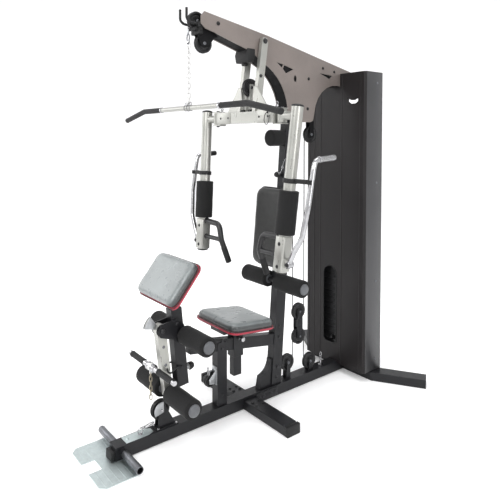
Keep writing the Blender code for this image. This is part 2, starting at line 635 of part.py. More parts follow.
# ---------------------------------------------------------------- lat bar
def build_lat_bar(lat):
    end = (LAT_TIP, LAT_Y, LAT_BAR_Z - LAT_DROP)
    path = [(-end[0], *end[1:]), (-LAT_STRAIGHT, LAT_Y, LAT_BAR_Z),
            (LAT_STRAIGHT, LAT_Y, LAT_BAR_Z), end]
    eye = front_prism([(-0.020, LAT_BAR_Z), (0.020, LAT_BAR_Z), (0.020, LAT_BAR_Z + 0.026),
                       (0.010, LAT_BAR_Z + 0.034), (-0.010, LAT_BAR_Z + 0.034),
                       (-0.020, LAT_BAR_Z + 0.026)], LAT_Y - 0.004, LAT_Y + 0.004)
    add("lat_bar", fused(bent_rod(path, LAT_RADIUS, 0.05, 5), eye), "arm_silver", lat)
    chain = rod((0, LAT_Y, LAT_BAR_Z + 0.0345), (0, LAT_Y, CHAIN_TOP), 0.008, 8)
    add("lat_chain", chain, "chrome", lat)


# ---------------------------------------------------------------- press station
def build_press(yoke, arms, levers):
    py, pz = PRESS_PIVOT
    bar_view = [(py - 0.020, pz - 0.010), (py - 0.012, pz + 0.018), (py + 0.012, pz + 0.018),
                (py + 0.020, pz - 0.010), (CROSS_Y + 0.022, CROSS_Z), (CROSS_Y - 0.018, CROSS_Z)]
    bars = [side_prism(bar_view, min(side * x for x in YOKE_BAR_X), max(side * x for x in YOKE_BAR_X))
            for side in (-1, 1)]
    beam = block((-CROSS_HALF, CROSS_HALF), (CROSS_Y - 0.030, CROSS_Y + 0.030),
                 (CROSS_Z - 0.030, CROSS_Z + 0.030))
    axle = rod((-YOKE_BAR_X[1], py, pz), (YOKE_BAR_X[1], py, pz), 0.008)
    y, z = YOKE_PULLEY
    holder = cheeks([(y - 0.018, CROSS_Z + 0.02), (y + 0.018, CROSS_Z + 0.02),
                     (y + 0.012, z + 0.018), (y - 0.012, z + 0.018)], [YOKE_PULLEY])
    pieces = [axle, *holder]
    for side in (-1, 1):
        rib = [(side * 0.040, CROSS_Z + 0.025), (side * 0.185, CROSS_Z + 0.025),
               (side * 0.078, CROSS_Z + 0.165), (side * 0.055, CROSS_Z + 0.165)]
        pieces.append(front_prism(rib, CROSS_Y - 0.004, CROSS_Y + 0.004))
        for level in (CROSS_Z - 0.0405, CROSS_Z + 0.0355):
            ear_x = sorted((side * (CROSS_HALF - 0.01), side * (FLY_X + 0.020)))
            pieces.append(block(ear_x, (CROSS_Y - 0.022, CROSS_Y + 0.022), (level, level + 0.005)))
            link = sorted((side * (CROSS_HALF - 0.02), side * (CROSS_HALF - 0.001)))
            pieces.append(block(link, (CROSS_Y - 0.022, CROSS_Y + 0.022),
                                sorted((level + 0.001, CROSS_Z))))
        pieces.append(rod((side * FLY_X, CROSS_Y, CROSS_Z - 0.044),
                          (side * FLY_X, CROSS_Y, CROSS_Z + 0.044), 0.006, 12))
    add("press_yoke", fused(beam, *bars, *pieces), "arm_silver", yoke)

    hub = sleeve((FLY_X, CROSS_Y, CROSS_Z - 0.033), (FLY_X, CROSS_Y, CROSS_Z + 0.033),
                 0.025, 0.0065, 16, 0.002)
    crank = rod((FLY_X + 0.015, CROSS_Y, CROSS_Z), (ARM_TOP.x, CROSS_Y, CROSS_Z), 0.022, 16)
    tube = rod(ARM_TOP, ARM_BOTTOM, ARM_RADIUS, 20)
    grip_top, grip_mid = on_arm(0.985), on_arm(0.895)
    inward = 0.180
    handle = bent_rod([grip_top, (grip_top.x - inward + 0.020, grip_top.y, grip_top.z - 0.005),
                       (grip_mid.x - inward, grip_mid.y + 0.004, grip_mid.z),
                       (grip_mid.x - inward, grip_mid.y + 0.055, 0.765)], 0.0155, 0.045, 4)
    brace = rod(grip_mid, (grip_mid.x - inward, grip_mid.y + 0.004, grip_mid.z), 0.0125, 12)
    lug = side_prism([(LEVER_PIVOT.y - 0.016, LEVER_PIVOT.z - 0.016),
                      (LEVER_PIVOT.y + 0.016, LEVER_PIVOT.z - 0.016),
                      (LEVER_PIVOT.y + 0.016, LEVER_PIVOT.z + 0.016),
                      (LEVER_PIVOT.y - 0.016, LEVER_PIVOT.z + 0.016)],
                     ARM_BOTTOM.x + 0.015, LEVER_PIVOT.x - 0.019)
    arm = fused(tube, crank, hub, handle, brace, lug)

    foot = LEVER_PIVOT
    lever_path = [foot, (foot.x + 0.030, foot.y, foot.z + 0.060), (0.476, -0.808, 1.000),
                  (0.498, -0.790, 1.150), (0.502, -0.760, 1.325), (0.502, -0.748, 1.365),
                  (0.502, -0.620, 1.375)]
    boss = rod((foot.x, foot.y - 0.018, foot.z), (foot.x, foot.y + 0.018, foot.z), 0.018, 16)
    lever = fused(bent_rod(lever_path, LEVER_RADIUS, 0.05, 3), boss)
    foam = sleeve(on_arm(1.215), on_arm(1.000), 0.050, ARM_RADIUS + GAP)
    for side, word in ((1, "right"), (-1, "left")):
        flip = mirrored if side < 0 else (lambda mesh: mesh)
        add(f"fly_arm_{word}", flip(arm), "arm_silver", arms[word])
        add(f"fly_foam_{word}", flip(foam), "foam", arms[word])
        add(f"outer_lever_{word}", flip(lever), "chrome", levers[word])


def on_arm(z):
    """The point on the right arm's centre line at a height."""
    return ARM_TOP.lerp(ARM_BOTTOM, (ARM_TOP.z - z) / (ARM_TOP.z - ARM_BOTTOM.z))


# ---------------------------------------------------------------- seat
def build_seat(frame, slider, seat_pin):
    depth = 0.062
    front, back = (-1.140, 0.447), (upright_face(0.357) - GAP * 2, 0.357)
    slope = (back[1] - front[1]) / (back[0] - front[0])
    heel = (upright_face(back[1] - depth) - GAP * 2, back[1] - depth)
    beam = side_prism([front, (front[0], front[1] - depth), heel, back], -0.022, 0.022)
    post_y = (-0.975, -0.915)
    post_top = front[1] + (post_y[0] - front[0]) * slope - 0.02
    post = block((-0.025, 0.025), post_y, (BEAM_TOP + GAP, post_top))
    sleeve_y = (-0.871, -0.809)
    bore_y = (sleeve_y[0] + 0.006, sleeve_y[1] - 0.006)
    tube = block((-0.028, 0.028), sleeve_y, (0.300, 0.425))
    bore = block((-0.020, 0.020), bore_y, (0.200, 0.600))
    pin_hole = rod((0.010, -0.840, 0.402), (0.060, -0.840, 0.402), 0.0060, 12)
    add("seat_beam", cut(fused(beam, post, tube), bore, pin_hole), "frame_black", frame)

    inner = block((-0.0194, 0.0194), (bore_y[0] + GAP, bore_y[1] - GAP), (0.195, 0.459))
    top_plate = side_prism([(-0.960, 0.474), (-0.720, 0.446), (-0.720, 0.440), (-0.960, 0.452)],
                           -0.060, 0.060)
    add("seat_slider", fused(inner, top_plate), "frame_black", slider)
    pin = [(0, 0), (0, 0.0052), (0.026, 0.0052), (0.026, 0.012), (0.050, 0.014), (0.052, 0)]
    add("seat_pin", turned(pin, (0.0202, -0.840, 0.402), (1, 0, 0), 12), "chrome", seat_pin)

    length = Vector(SEAT_TOP_BACK) - Vector(SEAT_TOP_FRONT)
    half_long, corner = length.length / 2, 0.045
    outline = []
    for x, y in rounded_outline(SEAT_HALF_FRONT, half_long, corner):
        share = (y + half_long) / (2 * half_long)
        outline.append((x * (1 + (SEAT_HALF_BACK / SEAT_HALF_FRONT - 1) * share), y))
    cushion = plan_prism(outline, -SEAT_THICK, 0)
    middle = (Vector(SEAT_TOP_BACK) + Vector(SEAT_TOP_FRONT)) / 2
    cushion.transform(Matrix.Rotation(-Vector((1, 0)).angle_signed(length), 4, "X"))
    cushion.transform(Matrix.Translation((0, middle.x, middle.y)))
    add("seat_pad", cushion, "vinyl", slider)


# ---------------------------------------------------------------- leg station
def build_leg_station(frame, bodies):
    foot, head = Vector(POST_FOOT), Vector(POST_HEAD)
    along = (head - foot).normalized()
    front = Vector((-along.y, along.x))
    half = 0.030

    def post_point(offset, height):
        """A side-view point: offset towards the front, height along the post."""
        point = foot + front * offset + along * height
        return (point.x, point.y)

    length = (head - foot).length
    ends = [(-half, 0), (half, 0), (half, length), (-half, length)]
    outer = side_prism([post_point(*end) for end in ends], -0.025, 0.025)
    wall = 0.006
    ends = [(-half + wall, -0.02), (half - wall, -0.02), (half - wall, length + 0.02),
            (-half + wall, length + 0.02)]
    bore = side_prism([post_point(*end) for end in ends], -0.019, 0.019)
    y, z = UPPER_ROLLER
    bar = rod((-ROLLER_HALF, y, z), (ROLLER_HALF, y, z), ROLLER_BAR_RADIUS)
    ly, lz = LEG_PIVOT
    ears = []
    for side in (-1, 1):
        low, high = sorted((side * 0.0235, side * 0.0315))
        ears.append(side_prism([post_point(0.004, 0.235), post_point(0.004, 0.345),
                                (ly - 0.010, lz + 0.030), (ly - 0.028, lz - 0.002),
                                (ly - 0.012, lz - 0.032)], low, high))
    axle = rod((-0.036, ly, lz), (0.036, ly, lz), 0.007, 12)
    knob_level = 0.070
    hole = rod((0, *post_point(-0.01, knob_level)), (0, *post_point(-0.06, knob_level)), 0.0060, 12)
    post = cut(fused(outer, bar, *ears, axle), bore, hole)
    add("leg_post", post, "frame_black", frame)
    add_rollers("upper_roller", UPPER_ROLLER, frame)

    knob = [(0, 0), (0, 0.0052), (0.024, 0.0052), (0.024, 0.013), (0.030, 0.019), (0.048, 0.019),
            (0.054, 0.014), (0.054, 0)]
    start = (0, *post_point(-half + wall + 0.002, knob_level))
    add("post_knob", turned(knob, start, (0, -front.x, -front.y), 14), "pulley_black",
        bodies["post_knob"])

    low, high = Vector(PREACHER_LOW), Vector(PREACHER_HIGH)
    face = (high - low).normalized()
    pad_thick = 0.055
    underside = low + Vector((face.y, -face.x)) * (pad_thick + 2 * GAP)
    inset = half - wall - GAP

    def stem_height(offset):
        """Height along the post where the stem meets the pad's underside."""
        start = foot + front * offset
        gap = underside - start
        return (gap.x * face.y - gap.y * face.x) / (along.x * face.y - along.y * face.x)

    ends = [(-inset, 0.16), (inset, 0.16), (inset, stem_height(inset)),
            (-inset, stem_height(-inset))]
    stem = side_prism([post_point(*end) for end in ends], -0.0186, 0.0186)
    add("preacher_stem", stem, "frame_black", bodies["preacher"])

    outline = rounded_outline(0.180, (high - low).length / 2, 0.035)
    board = plan_prism(outline, -pad_thick, 0)
    middle = (low + high) / 2
    board.transform(Matrix.Rotation(-Vector((1, 0)).angle_signed(face), 4, "X"))
    board.transform(Matrix.Translation((0, middle.x, middle.y)))
    add("preacher_pad", board, "vinyl", bodies["preacher"])

    lever = bodies["leg_lever"]
    y, z = LOWER_ROLLER
    down = (Vector((y, z)) - Vector(LEG_PIVOT)).normalized()
    side_way = Vector((down.y, -down.x))
    pivot = Vector(LEG_PIVOT)
    reach = (Vector((y, z)) - pivot).length + 0.018
    strip = [pivot + side_way * w + down * s
             for w, s in ((-0.024, 0.0), (-0.020, reach), (0.020, reach), (0.024, 0.0))]
    bar_solid = side_prism([tuple(p) for p in strip], -0.0195, 0.0195)
    head_disc = rod((-0.0215, ly, lz), (0.0215, ly, lz), 0.028, 18)
    bore = rod((-0.05, ly, lz), (0.05, ly, lz), 0.0075, 12)
    foot_bar = rod((-ROLLER_HALF, y, z), (ROLLER_HALF, y, z), ROLLER_BAR_RADIUS)
    sector = side_prism([(ly, lz), *arc(ly, lz, 0.085, 127, 166, 5)], -0.0045, 0.0045)
    lever_solid = cut(fused(bar_solid, head_disc, foot_bar, sector), bore)
    add("leg_lever", lever_solid, "arm_silver", lever)
    add_rollers("lower_roller", LOWER_ROLLER, lever)

    cy, cz = CURL_BAR
    half, grip, collar = 0.220, 0.0135, 0.020
    profile = [(0, 0), (0, grip), (half - 0.030, grip), (half - 0.030, collar),
               (half + 0.030, collar), (half + 0.030, grip), (2 * half, grip), (2 * half, 0)]
    handle = turned(profile, (-half, cy, cz), (1, 0, 0), 16)
    links = rod((0.0005, cy - 0.004, cz - 0.009), (0.0005, cy - 0.004, 0.212), 0.007, 8)
    add("curl_bar", fused(handle, links), "chrome", lever)

    py, pz = LOW_PULLEY
    holder = cheeks([(py - 0.020, BEAM_TOP + 0.004), (py + 0.075, BEAM_TOP + 0.004),
                     (py + 0.020, pz + 0.018), (py - 0.014, pz + 0.018)], [LOW_PULLEY])
    plate = block((-0.030, 0.030), (py - 0.030, py + 0.085), (BEAM_TOP + GAP, BEAM_TOP + 0.006))
    add("low_pulley_bracket", fused(plate, *holder), "frame_black", frame)


PULLEYS = {
    "tip_pulley": TIP_PULLEY,
    "boom_top_pulley": TOP_PULLEY,
    "shoulder_pulley": SHOULDER_PULLEY,
    "yoke_pulley": YOKE_PULLEY,
    "float_pulley_upper": (FLOAT_Y, FLOAT_UPPER_Z),
    "float_pulley_lower": (FLOAT_Y, FLOAT_LOWER_Z),
    "base_pulley_front": BASE_FRONT_PULLEY,
    "base_pulley_rear": BASE_REAR_PULLEY,
    "low_pulley": LOW_PULLEY,
    "tower_pulley": TOWER_PULLEY,
}


def build():
    clear_scene()
    frame = make_body("gym")
    float_body = make_body("float_body", (0, FLOAT_Y, FLOAT_UPPER_Z), frame)
    stack = make_body("stack_body", (0, ROD_Y, STACK_BOTTOM), frame)
    pin_z = STACK_BOTTOM + (RESTING_COUNT + 0.5) * STACK_PITCH
    pin = make_body("pin_body", (PIN_X, STACK_FRONT, pin_z), stack)
    lat = make_body("lat_body", (0, LAT_Y, CHAIN_TOP), frame)
    yoke = make_body("yoke_body", (0, *PRESS_PIVOT), frame)
    arms, levers = {}, {}
    for side, word in ((1, "right"), (-1, "left")):
        arms[word] = make_body(f"arm_{word}", (side * FLY_X, CROSS_Y, CROSS_Z), yoke)
        place = (side * LEVER_PIVOT.x, LEVER_PIVOT.y, LEVER_PIVOT.z)
        levers[word] = make_body(f"lever_{word}", place, arms[word])
    slider = make_body("seat_body", (0, -0.840, 0.402), frame)
    seat_pin = make_body("seat_pin_body", (0.020, -0.840, 0.402), frame)
    leg_bodies = {"post_knob": make_body("knob_body", (0, *POST_FOOT), frame),
                  "preacher": make_body("preacher_body", (0, *POST_HEAD), frame),
                  "leg_lever": make_body("leg_body", (0, *LEG_PIVOT), frame)}
    holders = {"yoke_pulley": yoke, "float_pulley_upper": float_body,
               "float_pulley_lower": float_body}
    wheels = {name: make_body(f"{name}_axle", (0, *centre), holders.get(name, frame))
              for name, centre in PULLEYS.items()}
    build_base(frame)
    build_upright(frame)
    build_boom(frame)
    build_tower(frame, stack, pin)
    build_pulleys(wheels, float_body, lat)
    build_lat_bar(lat)
    build_press(yoke, arms, levers)
    build_seat(frame, slider, seat_pin)
    build_leg_station(frame, leg_bodies)


build()
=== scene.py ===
"""Looks of the multi station home gym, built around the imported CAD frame.

Metres, +Z up, X across the machine, -Y towards the foot plate. The CAD nodes stay where they are;
the pieces made here ride on the CAD bodies, and some of them stand for a plainer CAD node.
"""

import json
import math

import bmesh
import bpy
from mathutils import Matrix, Vector


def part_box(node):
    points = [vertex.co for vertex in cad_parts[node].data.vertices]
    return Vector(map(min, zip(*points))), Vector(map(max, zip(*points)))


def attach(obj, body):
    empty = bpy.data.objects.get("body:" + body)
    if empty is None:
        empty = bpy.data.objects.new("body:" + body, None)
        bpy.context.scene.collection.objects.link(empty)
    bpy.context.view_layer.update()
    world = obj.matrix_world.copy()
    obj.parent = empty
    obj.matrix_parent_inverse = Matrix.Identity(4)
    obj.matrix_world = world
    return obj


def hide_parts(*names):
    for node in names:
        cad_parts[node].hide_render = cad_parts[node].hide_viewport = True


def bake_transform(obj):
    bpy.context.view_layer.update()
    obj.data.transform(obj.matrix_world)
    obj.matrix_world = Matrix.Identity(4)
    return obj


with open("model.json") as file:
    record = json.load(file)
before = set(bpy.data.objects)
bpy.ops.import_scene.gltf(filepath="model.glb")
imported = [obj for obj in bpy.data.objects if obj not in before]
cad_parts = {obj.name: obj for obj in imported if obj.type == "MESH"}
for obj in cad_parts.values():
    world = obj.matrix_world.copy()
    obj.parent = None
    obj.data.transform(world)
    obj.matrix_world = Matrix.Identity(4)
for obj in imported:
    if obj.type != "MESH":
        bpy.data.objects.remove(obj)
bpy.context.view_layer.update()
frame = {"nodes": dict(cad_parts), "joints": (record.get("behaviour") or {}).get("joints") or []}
NODES = frame["nodes"]
JOINTS = {joint["name"]: joint for joint in frame["joints"]}
scene = bpy.context.scene
SIDES = ((-1, "left"), (1, "right"))
SIGNS = (-1, 1)
SHARP_ANGLE = math.radians(38)     # steeper edges are not shaded smooth


# ---------------------------------------------------------------- places taken from the frame

def low(node):
    """Lowest corner of a CAD node's box."""
    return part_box(node)[0]


def high(node):
    """Highest corner of a CAD node's box."""
    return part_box(node)[1]


def middle(node):
    """Centre of a CAD node's box."""
    corner_a, corner_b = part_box(node)
    return (corner_a + corner_b) / 2


def pivot(joint):
    """Rest position of a joint."""
    return Vector(JOINTS[joint]["pos_m"])


# ---------------------------------------------------------------- meshes

def mesh_object(name, bm, material, smooth=True):
    """Turns a bmesh into a named object with one material, shaded smooth unless told otherwise."""
    bmesh.ops.recalc_face_normals(bm, faces=bm.faces)
    mesh = bpy.data.meshes.new(name)
    bm.to_mesh(mesh)
    bm.free()
    for face in mesh.polygons:
        face.use_smooth = smooth
    mesh.materials.append(material)
    thing = bpy.data.objects.new(name, mesh)
    scene.collection.objects.link(thing)
    if smooth:
        mesh.set_sharp_from_angle(angle=SHARP_ANGLE)
    return thing


def frames_along(points, closed=False):
    """Two unit vectors across the path at each of its points, turning as little as possible."""
    count = len(points)
    tangents = []
    for i in range(count):
        before = points[(i - 1) % count] if closed or i else points[0]
        after = points[(i + 1) % count] if closed or i < count - 1 else points[-1]
        tangents.append((after - before).normalized())
    side = tangents[0].orthogonal().normalized()
    result = []
    for i, tangent in enumerate(tangents):
        if i:
            side = tangents[i - 1].rotation_difference(tangent) @ side
        side = (side - tangent * side.dot(tangent)).normalized()
        result.append((side, tangent.cross(side)))
    return result


def turns(count):
    """The angles of that many even steps round a circle."""
    return [2 * math.pi * k / count for k in range(count)]


def oval(centre, across, up, count):
    """Points of an ellipse round the centre, from its two half axes."""
    return [centre + across * math.cos(turn) + up * math.sin(turn) for turn in turns(count)]


def bridge(bm, rings):
    """Joins each ring of points to the next one with quads."""
    for ring_a, ring_b in zip(rings, rings[1:]):
        for k in range(len(ring_a)):
            j = (k + 1) % len(ring_a)
            bm.faces.new((ring_a[k], ring_a[j], ring_b[j], ring_b[k]))


def close_ends(bm, rings):
    """Closes the first and the last ring with a face each."""
    bm.faces.new(list(reversed(rings[0])))
    bm.faces.new(rings[-1])


def sweep(bm, points, radius, sides=16, closed=False):
    """Adds a round tube that follows the points. radius is one number or one for each point."""
    points = [Vector(p) for p in points]
    radii = radius if isinstance(radius, (list, tuple)) else [radius] * len(points)
    rings = [[bm.verts.new(p) for p in oval(point, side * r, up * r, sides)]
             for point, r, (side, up) in zip(points, radii, frames_along(points, closed))]
    bridge(bm, rings + rings[:1] if closed else rings)
    if not closed:
        close_ends(bm, rings)


def lathe(bm, profile, origin, axis, sides=48):
    """Adds a solid of revolution. The profile is (distance along the axis, radius) end to end."""
    origin, axis = Vector(origin), Vector(axis).normalized()
    side = axis.orthogonal().normalized()
    up = axis.cross(side)
    rings = []
    for along, radius in profile:
        centre = origin + axis * along
        points = oval(centre, side * radius, up * radius, sides) if radius else [centre]
        rings.append([bm.verts.new(p) for p in points])
    for ring_a, ring_b in zip(rings, rings[1:]):
        if len(ring_a) == len(ring_b):
            if len(ring_a) > 1:
                bridge(bm, [ring_a, ring_b])
            continue
        for k in range(sides):
            j = (k + 1) % sides
            if len(ring_a) == 1:
                bm.faces.new((ring_a[0], ring_b[j], ring_b[k]))
            else:
                bm.faces.new((ring_a[k], ring_a[j], ring_b[0]))
    for end in (rings[0], rings[-1]):
        if len(end) > 1:
            bm.faces.new(end)


def rounded_path(points, radius, steps=8):
    """The polyline with each inner corner rounded to the radius, or less where legs are short."""
    points = [Vector(p) for p in points]
    result = [points[0]]
    for before, corner, after in zip(points, points[1:], points[2:]):
        a, b = (before - corner), (after - corner)
        reach = min(radius / math.tan(a.angle(b) / 2), a.length * 0.48, b.length * 0.48)
        start, end = corner + a.normalized() * reach, corner + b.normalized() * reach
        for i in range(steps + 1):
            t = i / steps
            result.append(start * (1 - t) ** 2 + corner * (2 * t * (1 - t)) + end * t ** 2)
    result.append(points[-1])
    return result


def slab(bm, outline, normal, thickness, bevel=0.0015):
    """Adds a plate: an outline of points in a plane, thickened along the normal, edges rounded."""
    part = bmesh.new()
    base = [part.verts.new(Vector(p)) for p in outline]
    face = part.faces.new(base)
    lifted = bmesh.ops.extrude_face_region(part, geom=[face])["geom"]
    shift = Vector(normal).normalized() * thickness
    corners = [v for v in lifted if isinstance(v, bmesh.types.BMVert)]
    bmesh.ops.translate(part, vec=shift, verts=corners)
    bmesh.ops.recalc_face_normals(part, faces=part.faces)
    if bevel:
        sharp = [e for e in part.edges if len(e.link_faces) == 2 and e.calc_face_angle(0) > 0.6]
        bmesh.ops.bevel(part, geom=sharp, offset=bevel, segments=2, profile=0.5,
                        affect="EDGES", clamp_overlap=True)
    append(bm, part)


def append(bm, part):
    """Moves a bmesh into another one."""
    mesh = bpy.data.meshes.new("part")
    part.to_mesh(mesh)
    part.free()
    bm.from_mesh(mesh)
    bpy.data.meshes.remove(mesh)


def box(bm, corner_a, corner_b, bevel=0.002):
    """Adds a box between two opposite corners, in either order, with rounded edges."""
    (ax, bx), (ay, by), (az, bz) = (sorted(pair) for pair in zip(corner_a, corner_b))
    outline = [(ax, ay, az), (bx, ay, az), (bx, by, az), (ax, by, az)]
    slab(bm, outline, (0, 0, 1), bz - az, bevel)


def ring(bm, centre, normal, radius, wire, steps=32, sides=10):
    """Adds a torus."""
    normal = Vector(normal).normalized()
    side = normal.orthogonal().normalized()
    up = normal.cross(side)
    sweep(bm, oval(Vector(centre), side * radius, up * radius, steps), wire, sides, closed=True)


def bolt(bm, place, axis, size=0.008):
    """Adds a hexagon bolt head on a washer, standing on the place and pointing along the axis."""
    thick, tall = size * 0.18, size * 0.62
    lathe(bm, [(0, 0), (0, size * 1.32), (thick * 0.7, size * 1.32), (thick, size * 1.25),
               (thick, 0)], place, axis, 24)
    lathe(bm, [(thick, 0), (thick, size), (thick + tall * 0.8, size), (thick + tall, size * 0.86),
               (thick + tall, 0)], place, axis, 6)


def domed_bolt(bm, place, axis, size=0.008):
    """Adds a round-headed bolt with a socket in the head."""
    profile = [(0, 0), (0, size * 1.25), (size * 0.12, size * 1.25), (size * 0.14, size),
               (size * 0.38, size * 0.92), (size * 0.58, size * 0.62), (size * 0.62, size * 0.42),
               (size * 0.34, size * 0.40), (size * 0.34, 0)]
    lathe(bm, profile, place, axis, 24)


def chain(bm, start, end, pitch=0.020, wire=0.0021, width=0.0062):
    """Adds a chain of oval links between two points, each link turned a quarter from the last."""
    start, end = Vector(start), Vector(end)
    run = end - start
    count = max(1, round(run.length / pitch))
    step = run.length / count
    along = run.normalized()
    side = along.orthogonal().normalized()
    up = along.cross(side)
    for i in range(count):
        centre = start + along * (step * (i + 0.5))
        across = side if i % 2 else up
        half = step * 0.5 + wire * 0.9 - width
        points = []
        for turn in turns(16):
            lift = half if math.cos(turn) > 0 else -half
            points.append(centre + along * (lift + width * math.cos(turn))
                          + across * (width * math.sin(turn)))
        sweep(bm, points, wire, 8, closed=True)


def stand_for(thing, body, slot, *nodes):
    """The piece rides on the body and hides the CAD nodes it stands for; slot is not used."""
    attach(thing, body)
    if nodes:
        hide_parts(*nodes)
    return thing


def piece(bm, name, material, body, slot, *nodes):
    """Makes a mesh piece and lets it stand for the nodes."""
    return stand_for(mesh_object(name, bm, material), body, slot, *nodes)


# ---------------------------------------------------------------- materials

class Nodes:
    """A short way to write a material's nodes."""

    def __init__(self, name):
        self.material = bpy.data.materials.new(name)
        self.material.use_nodes = True
        self.tree = self.material.node_tree
        self.tree.nodes.clear()
        self.out = self.add("ShaderNodeOutputMaterial")
        self.shader = self.add("ShaderNodeBsdfPrincipled")
        self.link(self.shader, "BSDF", self.out, "Surface")
        self.place = self.add("ShaderNodeTexCoord")

    def add(self, kind, **settings):
        node = self.tree.nodes.new(kind)
        for key, value in settings.items():
            setattr(node, key, value)
        return node

    def link(self, source, output, target, socket):
        self.tree.links.new(source.outputs[output], target.inputs[socket])

    def set(self, socket, value):
        self.shader.inputs[socket].default_value = value

    def noise(self, scale, detail=4.0, rough=0.55, stretch=(1, 1, 1)):
        """Noise in the object's own metres; stretch above 1 makes it finer along that axis."""
        mapping = self.add("ShaderNodeMapping")
        mapping.inputs["Scale"].default_value = stretch
        self.link(self.place, "Object", mapping, "Vector")
        node = self.add("ShaderNodeTexNoise")
        node.inputs["Scale"].default_value = scale
        node.inputs["Detail"].default_value = detail
        node.inputs["Roughness"].default_value = rough
        self.link(mapping, "Vector", node, "Vector")
        return node

    def ramp(self, source, output, stops):
        """A colour ramp; stops are (position, colour or grey)."""
        node = self.add("ShaderNodeValToRGB")
        elements = node.color_ramp.elements
        while len(elements) < len(stops):
            elements.new(0.5)
        for element, (position, value) in zip(elements, stops):
            colour = value if isinstance(value, (tuple, list)) else (value,) * 3
            element.position = position
            element.color = (*colour, 1)
        self.link(source, output, node, "Fac")
        return node

    def mix(self, blend, factor, a, b):
        """Mixes two colours; each is (node, output) or a colour, and the factor also a number."""
        node = self.add("ShaderNodeMix", data_type="RGBA", blend_type=blend)
        for socket, value in ((0, factor), (6, a), (7, b)):
            if isinstance(value, tuple) and isinstance(value[0], bpy.types.Node):
                self.tree.links.new(value[0].outputs[value[1]], node.inputs[socket])
            elif isinstance(value, tuple):
                node.inputs[socket].default_value = (*value, 1)
            else:
                node.inputs[socket].default_value = value
        return node

    def bump(self, heights, bevel=0.0):
        """Chains bumps, each (node, output, strength, distance), over an optional soft edge."""
        normal = None
        if bevel:
            normal = self.add("ShaderNodeBevel", samples=6)
            normal.inputs["Radius"].default_value = bevel
        for source, output, strength, distance in heights:
            node = self.add("ShaderNodeBump")
            node.inputs["Strength"].default_value = strength
            node.inputs["Distance"].default_value = distance
            self.link(source, output, node, "Height")
            if normal:
                self.link(normal, "Normal", node, "Normal")
            normal = node
        if normal:
            self.link(normal, "Normal", self.shader, "Normal")

    def edge_wear(self, bevel, strength=1.0):
        """A mask that is bright on convex edges: the soft-edged normal against the true one."""
        soft = self.add("ShaderNodeBevel", samples=6)
        soft.inputs["Radius"].default_value = bevel
        true = self.add("ShaderNodeNewGeometry")
        dot = self.add("ShaderNodeVectorMath", operation="DOT_PRODUCT")
        self.link(soft, "Normal", dot, 0)
        self.link(true, "Normal", dot, 1)
        mask = self.add("ShaderNodeMapRange")
        mask.inputs["From Min"].default_value = 1.0
        mask.inputs["From Max"].default_value = 0.80
        mask.inputs["To Max"].default_value = strength
        self.link(dot, "Value", mask, "Value")
        return mask


def shaded(colour, share):
    """The colour made darker or brighter."""
    return tuple(min(1, c * share) for c in colour)


def painted(name, colour, rough=0.42, metallic=0.0, orange_peel=0.35, wear=0.10,
            wear_colour=(0.35, 0.35, 0.36), coat=0.25, bevel=0.0022, tint=0.12, shine=0.5):
    """Powder-coated or lacquered steel: fine orange peel, soft edges, faint scuffs and dust."""
    n = Nodes(name)
    large = n.noise(3.1, 5)
    fine = n.noise(620, 3, 0.6)
    scuff = n.noise(46, 7, 0.72, (1, 1, 0.25))
    shade = n.ramp(large, "Fac", [(0.3, shaded(colour, 1 - tint)),
                                  (0.72, shaded(colour, 1 + tint))])
    speck = n.ramp(fine, "Fac", [(0.42, 0.86), (0.62, 1.0)])
    body = n.mix("MULTIPLY", 0.6, (shade, "Color"), (speck, "Color"))
    edge = n.edge_wear(bevel * 0.7, wear)
    worn = n.mix("MIX", (edge, "Result"), (body, "Result"), wear_colour)
    n.link(worn, "Result", n.shader, "Base Color")
    gloss = n.ramp(scuff, "Fac", [(0.35, rough * 0.88), (0.72, min(1, rough * 1.22))])
    n.link(gloss, "Color", n.shader, "Roughness")
    n.set("Metallic", metallic)
    n.set("Specular IOR Level", shine)
    n.set("Coat Weight", coat)
    n.set("Coat Roughness", 0.32)
    n.bump([(fine, "Fac", orange_peel, 0.00035), (scuff, "Fac", 0.05, 0.0006)], bevel)
    return n.material


def metal(name, colour, rough=0.18, brushed=0.0, axis=2, bevel=0.0010, grime=0.25):
    """Bare or plated metal: fine brushing across the axis, handling marks and darker patches."""
    n = Nodes(name)
    stretch = [1.0, 1.0, 1.0]
    stretch[axis] = 0.03
    lines = n.noise(900, 3, 0.6, tuple(stretch))
    marks = n.noise(24, 6, 0.7)
    tone = n.ramp(marks, "Fac", [(0.25, shaded(colour, 1 - grime)), (0.62, colour)])
    n.link(tone, "Color", n.shader, "Base Color")
    gloss = n.ramp(marks, "Fac", [(0.3, rough * 1.45), (0.7, rough)])
    n.link(gloss, "Color", n.shader, "Roughness")
    n.set("Metallic", 1.0)
    n.bump([(lines, "Fac", 0.05 + brushed, 0.0003), (marks, "Fac", 0.04, 0.0005)], bevel)
    return n.material


